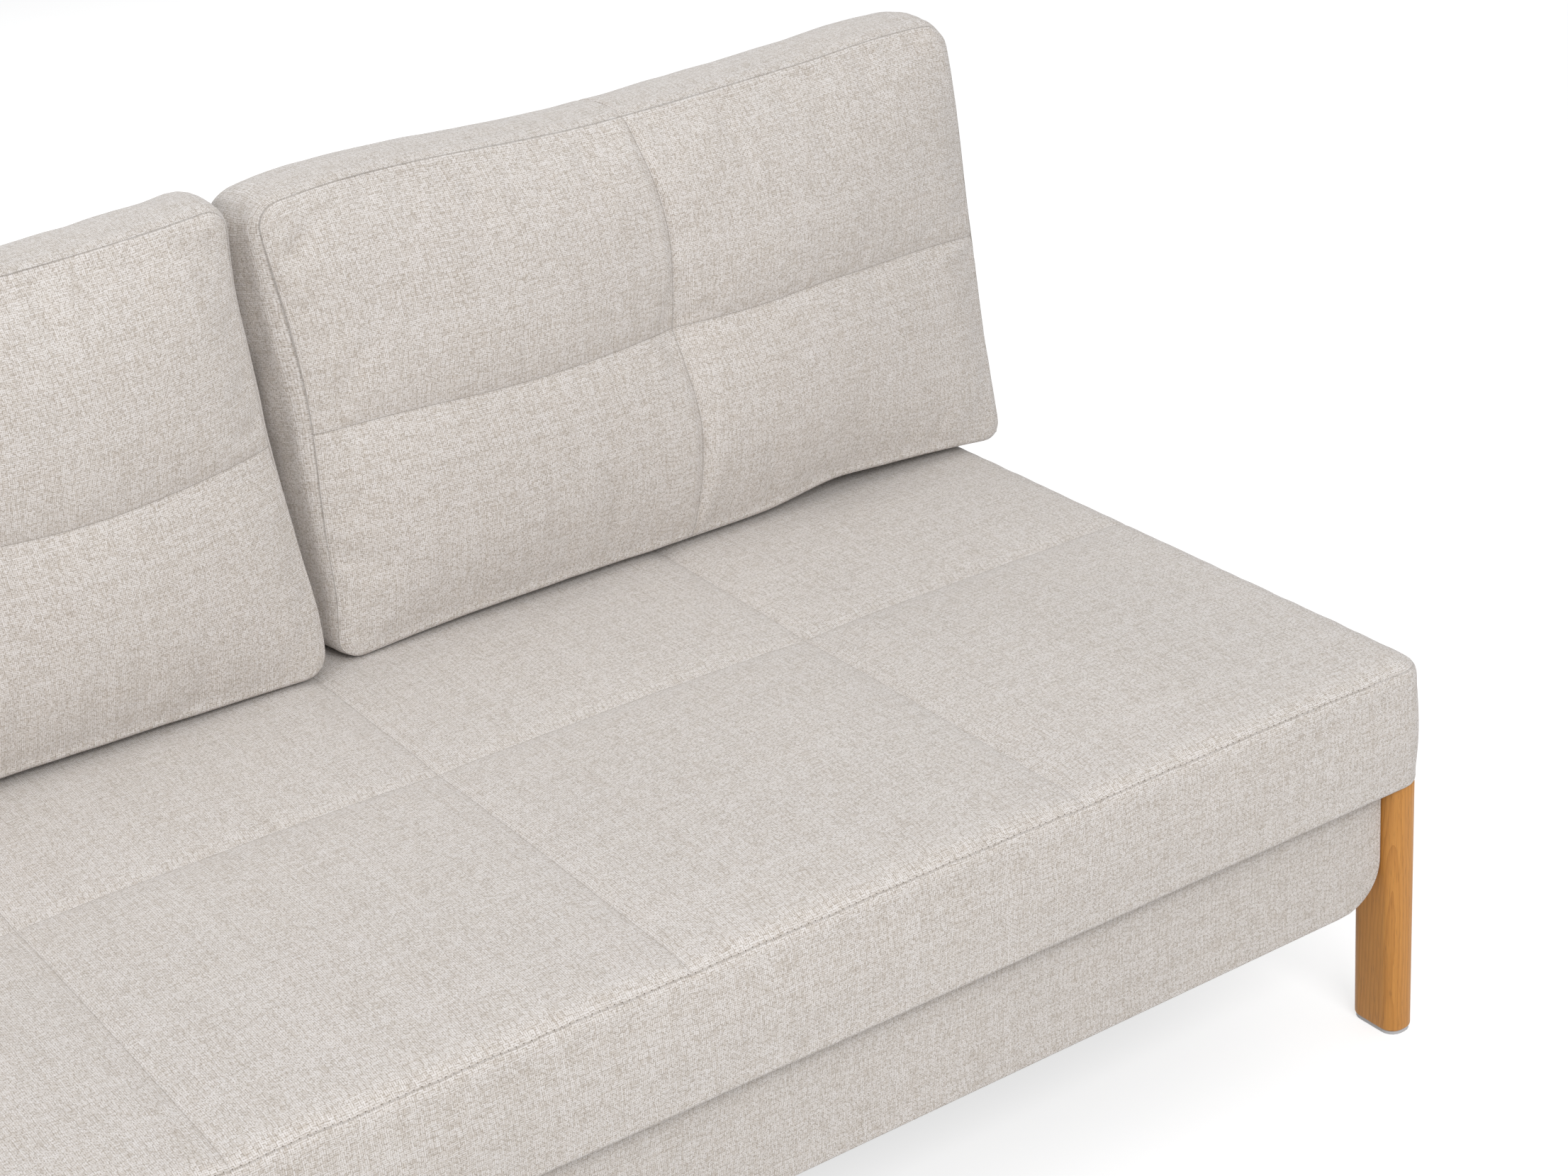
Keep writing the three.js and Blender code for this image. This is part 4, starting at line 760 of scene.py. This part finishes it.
back_cushion(
    "left", centre=-0.449, forward=0.015, seed=2.0,
    left_side=[(0.02, 0.003), (0.10, 0.0), (0.30, 0.0), (0.50, 0.0), (0.53, 0.003)],
    right_side=[(0.02, -0.003), (0.058, 0.001), (0.173, -0.006), (0.27, -0.014), (0.364, -0.016),
                (0.454, -0.016), (0.53, -0.008)],
    top_side=[(-1, 0.530), (-0.9, 0.532), (-0.3, 0.524), (0.3, 0.520), (0.9, 0.530), (1, 0.534)],
    left_swell=[(0.02, 0.006), (0.25, 0.009), (0.53, 0.007)],
    right_swell=[(0.02, 0.004), (0.17, 0.010), (0.30, 0.015), (0.53, 0.012)],
    seam_lean=[(-1, 0.0), (-0.5, 0.010), (0, 0.004), (0.5, 0.012), (1, 0.0)],
    seam_sag=[(-1, 0.0), (-0.5, -0.010), (0, 0.0), (0.5, -0.012), (1, 0.002)],
    lift=[(-1, 0.0), (-0.6, 0.009), (0, 0.010), (0.5, 0.008), (1, 0.002)],
    creases=[(-0.04, 0.50, -30, 0.022, 0.010, 0.006), (-0.05, 0.26, 10, 0.04, 0.010, 0.004)])

# ---- Backrest pad: foam over the steel back frame in a plain cover, open at the rear round the frame
pad_form = add_object("pad_form", nodes["back_pad"].data.copy())
skin = pad_form.modifiers.new("skin", "REMESH")
skin.mode, skin.voxel_size, skin.use_smooth_shade = "VOXEL", 0.0055, True
eased = pad_form.modifiers.new("eased", "SMOOTH")
eased.factor, eased.iterations = 0.5, 5
pad_skin = bpy.data.meshes.new_from_object(as_modified(pad_form))
bpy.data.objects.remove(pad_form)
points, normals = read_out(pad_skin.vertices, "co"), read_out(pad_skin.vertices, "normal")
points += normals * (0.0006 + 0.0008 * ripples(points[:, [0, 2]], 14, 4.0))[:, None]
pad_skin.vertices.foreach_set("co", points.ravel())
pad_skin.update()

# Its cloth map: each face takes the two directions that it lies along
upright = points[:, 2] * math.cos(back_tilt) + points[:, 1] * math.sin(back_tilt)
behind = points[:, 1] * math.cos(back_tilt) - points[:, 2] * math.sin(back_tilt)
corners = read_out(pad_skin.loops, "vertex_index", 1, np.int32)[:, 0]
facing = np.abs(read_out(pad_skin.polygons, "normal")) @ np.diag([1.0, 1.15, 1.0])
side = np.repeat(facing.argmax(1), read_out(pad_skin.polygons, "loop_total", 1, np.int32)[:, 0])
across, high, deep = points[corners, 0], upright[corners], behind[corners]
cloth = np.stack([np.where(side == 0, deep, across), np.where(side == 2, deep, high)], 1)
pad_skin.uv_layers.new(name="bolt").data.foreach_set("uv", cloth.astype(np.float32).ravel())
pad_skin.materials.clear()
pad_skin.materials.append(upholstery)
pad_skin.polygons.foreach_set("material_index", [0] * len(pad_skin.polygons))
upholster(add_object("back_cover", pad_skin), "back", "back_pad")

# ---- Base cover: the same cloth stretched over the box's boards and stapled below. The front and rear
# panels turn the edge, and each end panel wraps down the end and round under the corner.
front_low, front_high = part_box("base_front_cover")
base_half, base_middle = (front_high.x - front_low.x) / 2, (front_high.x + front_low.x) / 2
base_bottom, base_top, base_corner = front_low.z, front_high.z, 0.055
base_tall = base_top - base_bottom


def painted_shade_under_seat(face):
    """Painted shade on a panel: darker where it goes up under the seat, standing for the shadow of the seat's
    overhang.
    """
    return 0.45 * np.exp((face[:, :, 2] - base_top) / 0.014)


def stretched(piece, panel_name):
    stand_in(piece, "base", "woven_fabric", f"base_{panel_name}_cover")


def upright_panel(panel_name, outer_y, inward, seed):
    """The front or rear panel, with its edge turned over the end boards."""
    x, z = np.meshgrid(np.linspace(-1, 1, 121) * inward, np.linspace(-1, 1, 21))
    roll, half_z = 0.0045, base_tall / 2
    flat = np.stack([x * base_half * inward + seed, z * half_z], -1)

    def shaped(inset, away):
        """The panel's outline drawn in by an inset, at a distance behind its outer side."""
        place_x, place_z = x * (base_half - inset), z * (half_z - inset)
        low_x, low_z = round_corners(place_x, place_z, base_half - inset, half_z - inset, base_corner - inset)
        place_x, place_z = np.where(z < 0, low_x, place_x), np.where(z < 0, low_z, place_z)
        return np.stack(np.broadcast_arrays(place_x + base_middle, outer_y + inward * away,
                                            place_z + base_bottom + half_z), -1)

    face = shaped(roll, 0.0010 + 0.0007 * ripples(flat, 7, seed) + 0.0003 * ripples(flat, 35, seed))
    turned_in = [(0.0026, 0.0012), (0.0012, 0.0024), (0.0003, 0.0042), (0.0, 0.0065), (0.0002, 0.0078),
                 (0.0012, 0.0082), (0.0028, 0.0080), (0.0030, 0.0031)]
    rings = [(rim_of(shaped(inset, away)), 0.0) for inset, away in turned_in]
    piece = sewn_body(f"base_{panel_name}_upholstery", flat, face, rings, upholstery, painted_shade_under_seat(face))
    stretched(piece, panel_name)


upright_panel("front", front_low.y, 1, 5.0)
upright_panel("rear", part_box("base_rear_cover")[1].y, -1, 9.0)


def end_panel(panel_name, side):
    """The end's panel, from the seat down the end and round the lower corner."""
    low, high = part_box(f"base_{panel_name}_cover")
    straight, arc, inset_y, cloth_thick = base_tall - base_corner, base_corner * math.pi / 2, 0.0050, 0.0030
    run = np.concatenate([np.linspace(0, straight, 13)[:-1], straight + np.linspace(0, arc, 19)])
    y, path = np.meshgrid(np.linspace(low.y + inset_y, high.y - inset_y, 90), run)
    flat = np.stack([y, -path], -1)

    def shell(inset):
        turn = np.clip((path - straight) / base_corner, 0, math.pi / 2)
        x = base_half - base_corner + (base_corner - inset) * np.cos(turn)
        z = np.where(path < straight, base_top - path,
                     base_bottom + base_corner - (base_corner - inset) * np.sin(turn))
        return np.stack([side * x + base_middle, y, z], -1)[::-side]

    outer, middle, inner = [shell(inset) for inset in (0.0004 + 0.0005 * ripples(flat, 8, side + 2.0),
                                                       cloth_thick / 2, cloth_thick)]
    piece = sewn_body(f"base_{panel_name}_upholstery", flat[::-side], outer,
                      [(rim_of(middle), 0.2), (rim_of(inner), 0.0)], upholstery, painted_shade_under_seat(outer), inner)
    stretched(piece, panel_name)


end_panel("left_end", -1)
end_panel("right_end", 1)

# ---- Finishes of the frame, the box and the fittings. Each reads the object's own coordinates.


def patterned(name):
    material, tree = new_material(name)
    place = add_node(tree, "ShaderNodeTexCoord").outputs["Object"]
    return material, tree, sums_in(tree), place


def cells_in(tree, place, scale, output, **more):
    return add_node(tree, "ShaderNodeTexVoronoi", {"Vector": place, "Scale": scale, **more}).outputs[output]


def timber(name, light, dark, ring_width, shiny, log=None, slant=(0.13, -0.07), knotty=0.05):
    """Sawn wood with its grain along Z: growth rings cut at a slant, fine fibres and short dark pores."""
    material, tree, sums, place = patterned(name)
    if log:
        place = add_node(tree, "ShaderNodeAttribute", attribute_name=log).outputs["Vector"]
    axes = parts_of(tree, place)
    sway = sums("MULTIPLY_ADD", speckle(tree, stretch(tree, place, (14, 14, 4.5)), 1.0, 3), knotty, -0.5 * knotty)
    across = sums("ADD", sums("MULTIPLY_ADD", axes[2], slant[0], axes[0]), sway)
    through = sums("ADD", sums("MULTIPLY_ADD", axes[2], slant[1], axes[1]), sway)
    radius = sums("SQRT", sums("ADD", sums("MULTIPLY", across, across), sums("MULTIPLY", through, through)))
    ring = sums("POWER", sums("FRACT", sums("DIVIDE", radius, ring_width)), 2.2)
    fibre = speckle(tree, stretch(tree, place, (900, 900, 16)), 1.0, 3, 0.6)
    pores = ranged(tree, speckle(tree, stretch(tree, place, (1500, 1500, 55)), 1.0, 1), 0.62, 0.72)
    share = sums("ADD", sums("MULTIPLY", ring, 0.45), sums("MULTIPLY_ADD", fibre, 0.9, -0.25), clamp=True)
    plain = mixed(tree, share, light, dark)
    colour = mixed(tree, sums("MULTIPLY", pores, 0.45), plain, tuple(0.45 * c for c in dark))
    height = sums("SUBTRACT", sums("MULTIPLY", fibre, 0.3), pores)
    surface(tree, colour, sums("MULTIPLY_ADD", fibre, 0.16, shiny), height, 0.0003, 0.3)
    return material


def coated_steel(name, light, dark, metallic, roughness, grain):
    """Sheet or tube steel: a flecked zinc coat or a fine orange-peel paint, a little worn and dusty."""
    material, tree, sums, place = patterned(name)
    fleck = parts_of(tree, cells_in(tree, place, grain, "Color"))[0]
    peel = speckle(tree, place, grain * 9, 2)
    smear = speckle(tree, place, 22, 4, 0.6)
    share = sums("MULTIPLY_ADD", fleck, 0.6, sums("MULTIPLY", smear, 0.4))
    surface(tree, mixed(tree, share, light, dark), sums("MULTIPLY_ADD", smear, 0.22, roughness), peel, 0.0002,
            0.25, Metallic=metallic)
    return material


def dull(name, light, dark, coarse, fine, roughness, depth):
    """A matt moulded or pressed stuff: broad mottling, fine grain and a slightly uneven skin."""
    material, tree, sums, place = patterned(name)
    broad, close = speckle(tree, place, coarse, 4, 0.6), speckle(tree, place, fine, 2)
    share = sums("MULTIPLY_ADD", broad, 0.6, sums("MULTIPLY", close, 0.4))
    surface(tree, mixed(tree, share, light, dark), roughness, close, depth)
    return material


def foam_block(name, light, dark):
    """Cut foam: open cells of two sizes and a yellowed patch here and there."""
    material, tree, sums, place = patterned(name)
    cells, large = cells_in(tree, place, 620.0, "Distance"), cells_in(tree, place, 170.0, "Distance")
    holes = sums("ADD", sums("MULTIPLY", cells, 0.7), sums("MULTIPLY", large, 0.4), clamp=True)
    surface(tree, mixed(tree, sums("MULTIPLY_ADD", speckle(tree, place, 9), 0.5, sums("MULTIPLY", holes, 0.5)),
                        light, dark), 0.95, holes, 0.0008, 0.6)
    return material


def felted_cloth(name, light, dark):
    """Thin bonded cloth with rows of heat-pressed dimples."""
    material, tree, sums, place = patterned(name)
    dots = cells_in(tree, place, 420.0, "Distance", Randomness=0.15)
    fluff = speckle(tree, stretch(tree, place, (1.0, 1.6, 1.0)), 900, 3, 0.7)
    pressed = sums("SMOOTH_MIN", dots, 0.5, 0.2)
    surface(tree, mixed(tree, sums("MULTIPLY_ADD", fluff, 0.7, sums("MULTIPLY", pressed, 0.4)), light, dark), 0.9,
            sums("ADD", pressed, fluff), 0.0004, 0.5)
    return material


def chipboard(name, light, dark):
    """Pressed board: pale and dark chips lying every way."""
    material, tree, sums, place = patterned(name)
    flattened = stretch(tree, place, (1, 1.7, 1.3))
    tone = parts_of(tree, cells_in(tree, flattened, 240.0, "Color"))[0]
    dust = speckle(tree, place, 1400, 2)
    share = sums("MULTIPLY_ADD", tone, 0.7, sums("MULTIPLY", dust, 0.4), clamp=True)
    surface(tree, mixed(tree, share, light, dark), 0.85, cells_in(tree, flattened, 240.0, "Distance"), 0.0004)
    return material


oak = timber("oak", (0.620, 0.285, 0.062), (0.390, 0.146, 0.023), 0.0046, 0.40, "log", (0.015, 0.055), 0.020)
finishes = {
    "oak": oak,
    "birch_ply": timber("birch_ply", (0.74, 0.57, 0.36), (0.60, 0.42, 0.23), 0.0110, 0.50),
    "grey_plastic": dull("grey_plastic", (0.56, 0.56, 0.57), (0.46, 0.46, 0.47), 60, 1800, 0.50, 0.0002),
    "black_rubber": dull("black_rubber", (0.040, 0.040, 0.042), (0.022, 0.022, 0.024), 90, 2400, 0.80, 0.0003),
    "zinc_steel": coated_steel("zinc_steel", (0.74, 0.75, 0.77), (0.56, 0.57, 0.60), 1.0, 0.26, 160.0),
    "painted_steel": coated_steel("painted_steel", (0.060, 0.060, 0.064), (0.035, 0.035, 0.038), 0.0, 0.38, 210.0),
    "foam": foam_block("foam", (0.84, 0.78, 0.62), (0.66, 0.56, 0.36)),
    "dust_cloth": felted_cloth("dust_cloth", (0.050, 0.050, 0.053), (0.020, 0.020, 0.022)),
    "board": chipboard("board", (0.62, 0.47, 0.30), (0.34, 0.22, 0.12)),
    "woven_fabric": upholstery,
}
for node in nodes.values():
    slot_name = node.data.materials[0].name.split(".")[0]
    node.data.materials[0] = finishes[slot_name]

# ---- Legs: solid oak posts, rounded rectangles in section with eased ends, each on a plastic glide
leg_rounding, around = 0.0160, 96
turns = np.linspace(0, 2 * math.pi, around, endpoint=False) + math.pi / around
for leg_number, leg_name in enumerate(["front_left_leg", "front_right_leg", "rear_left_leg", "rear_right_leg"]):
    low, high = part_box(leg_name)
    middle_x, middle_y, tall = (low.x + high.x) / 2, (low.y + high.y) / 2, high.z - low.z
    core_x, core_y = (high.x - low.x) / 2 - leg_rounding, (high.y - low.y) / 2 - leg_rounding
    levels = [(0.0020, 0.0), (0.0008, 0.0005), (0.0002, 0.0014), (0.0, 0.0030)]
    levels += [(0.0, rise) for rise in np.linspace(0.02, tall - 0.02, 12)]
    levels += [(0.0, tall - 0.0015), (0.0006, tall - 0.0004), (0.0015, tall)]
    leg_points = np.concatenate([np.column_stack([
        middle_x + np.copysign(core_x, np.cos(turns)) + (leg_rounding - inset) * np.cos(turns),
        middle_y + np.copysign(core_y, np.sin(turns)) + (leg_rounding - inset) * np.sin(turns),
        np.full(around, low.z + rise)]) for inset, rise in levels])
    index = np.arange(len(leg_points)).reshape(-1, around)
    beside = np.roll(index, -1, 1)
    sides = np.stack([index[:-1], beside[:-1], beside[1:], index[1:]], -1).reshape(-1, 4).tolist()
    leg_mesh = bpy.data.meshes.new(f"{leg_name}_post")
    leg_mesh.from_pydata(leg_points.tolist(), [], sides + [index[0, ::-1].tolist(), index[-1].tolist()])
    leg_mesh.polygons.foreach_set("use_smooth", [True] * len(sides) + [False, False])
    sawn = leg_points - (middle_x, middle_y, 0) + (0.004 * leg_number, -0.066, 1.7 * leg_number)
    leg_mesh.attributes.new("log", "FLOAT_VECTOR", "POINT").data.foreach_set("vector", sawn.ravel())
    leg_mesh.materials.append(oak)
    stand_in(add_object(f"{leg_name}_post", leg_mesh), "base", "oak", leg_name)

# ---- Thin cloths: a black dust cloth under the box, one under the seat frame, and the rear cloth of the
# backrest. Each is folded in at its edge and drawn tight; the box's one is stapled to the boards.


def thin_cloth(name, body, node, corner, across, along, sag, seed):
    """A taut sheet spread from a corner over two sides. It looks the way that across x along points.
    Its four hem lines are given back, for the stitches or staples."""
    hem, thickness, hem_line, finest, coarsest = 0.016, 0.0004, 0.008, 0.0035, 0.024
    corner, across, along = np.array(corner), np.array(across), np.array(along)
    width, length = np.linalg.norm(across), np.linalg.norm(along)
    facing = np.cross(across, along) / (width * length)
    places_x, places_y = seam_spaced(width, 1, finest, coarsest), seam_spaced(length, 1, finest, coarsest)
    run_x, run_y = np.meshgrid(places_x, places_y)
    flat = np.stack([run_x + seed, run_y], -1)
    to_edge = np.minimum(np.minimum(run_x, width - run_x), np.minimum(run_y, length - run_y))
    hang = sag * dome(2 * run_x / width - 1, 2 * run_y / length - 1, 4) * (1 + 0.3 * ripples(flat, 3.5, seed))
    hang = hang + 0.0003 * ripples(flat, 26, seed + 3) * fade(to_edge, 0.05)
    fold = 0.0005 / (1 + np.exp((to_edge - hem) / 0.0015))
    spread = corner + run_x[..., None] * across / width + run_y[..., None] * along / length
    outer = spread + (hang + fold)[..., None] * facing
    inner = outer - (thickness + fold)[..., None] * facing
    rings = [(rim_of((outer + inner) / 2), 0.0), (rim_of(inner), 0.0)]
    piece = sewn_body(name, flat, outer, rings, finishes["dust_cloth"], None, inner)
    stand_in(piece, body, "dust_cloth", node)
    near_x, near_y = [int(np.abs(places - hem_line).argmin()) for places in (places_x, places_y)]
    return [line + 0.0003 * facing for line in (
        outer[near_y, near_x:-near_x], outer[-near_y - 1, near_x:-near_x],
        outer[near_y:-near_y, near_x], outer[near_y:-near_y, -near_x - 1])]


def hung_below(name, body, node, gap, sag, seed):
    """A thin cloth in the place of a level one, looking down."""
    low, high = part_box(node)
    return thin_cloth(name, body, node, (low.x, high.y, low.z + gap), (high.x - low.x, 0, 0),
                      (0, low.y - high.y, 0), sag, seed)


hem_stitch = {"spacing": 0.0060, "length": 0.0044, "thickness": 0.0006}
hem_lines = hung_below("base_dust_sheet", "base", "base_dust_cloth", 0.0016, 0.0030, 1.0)
sewn_along("base_dust_sheet_staples", hem_lines, "base", finishes["zinc_steel"], 0.055, 0.0105, 0.0009, 11)
hem_lines = hung_below("seat_underside_sheet", "seat", "seat_underside_cloth", 0.0006, 0.0024, 2.0)
sewn_along("seat_underside_stitches", hem_lines, "seat", thread, **hem_stitch, seed=12)
low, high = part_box("back_rear_cloth")
rear_out, rear_low, rear_tall = 0.0308, -0.0047, 0.4264
hem_lines = thin_cloth("back_rear_sheet", "back", "back_rear_cloth", leaning(high.x, rear_out, rear_low),
                       (low.x - high.x, 0, 0),
                       (0, rear_tall * math.sin(back_tilt), rear_tall * math.cos(back_tilt)), 0.0008, 3.0)
sewn_along("back_rear_sheet_stitches", hem_lines, "back", thread, **hem_stitch, seed=13)

# ---- Foam cores: slabs cut from a block, one on the seat's slats and a thin one on the backrest's


def foam_slab(name, body, node, middle, half_x, half_y, thick, facing, seed):
    """A slab with eased edges and an uneven cut skin. facing turns (across, along, out) into places."""
    cut_x, cut_y = np.meshgrid(*[seam_spaced(2 * half, 1, 0.006, 0.024) - half for half in (half_x, half_y)])
    flat = np.stack([cut_x, cut_y], -1)

    def level(inset, out):
        x, y = round_corners(cut_x * (1 - inset / half_x), cut_y * (1 - inset / half_y), half_x - inset,
                             half_y - inset, 0.007 - inset)
        return facing(middle[0] + x, middle[1] + y, middle[2] + out)

    skin = 0.0006 + 0.0005 * ripples(flat, 24, seed)
    cut_rings = [(0.0022, 0.0004), (0.0009, 0.0013), (0.0003, 0.0030), (0.0004, 0.4 * thick),
                 (0.0004, 0.6 * thick), (0.0003, thick - 0.0030), (0.0009, thick - 0.0013),
                 (0.0022, thick - 0.0004), (0.0040, thick)]
    rings = [(rim_of(level(inset, np.full(cut_x.shape, thick / 2 - down))), 0.0) for inset, down in cut_rings]
    piece = sewn_body(name, flat, level(0.0040, thick / 2 - skin), rings, finishes["foam"], None,
                      level(0.0040, skin - thick / 2))
    stand_in(piece, body, "foam", node)


low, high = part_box("seat_foam_core")
foam_slab("seat_foam_slab", "seat", "seat_foam_core", (low + high) / 2, (high.x - low.x) / 2,
          (high.y - low.y) / 2, high.z - low.z,
          lambda x, y, z: np.stack(np.broadcast_arrays(x, y, z), -1), 1.0)
low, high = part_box("back_foam_core")
slab_middle_up, slab_middle_out, slab_half_tall, slab_thick = 0.2085, 0.01205, 0.2132, 0.0153
foam_slab("back_foam_slab", "back", "back_foam_core", ((low.x + high.x) / 2, slab_middle_up, slab_middle_out),
          (high.x - low.x) / 2, slab_half_tall, slab_thick, lambda x, height, out: leaning(x, -out, height), 2.0)
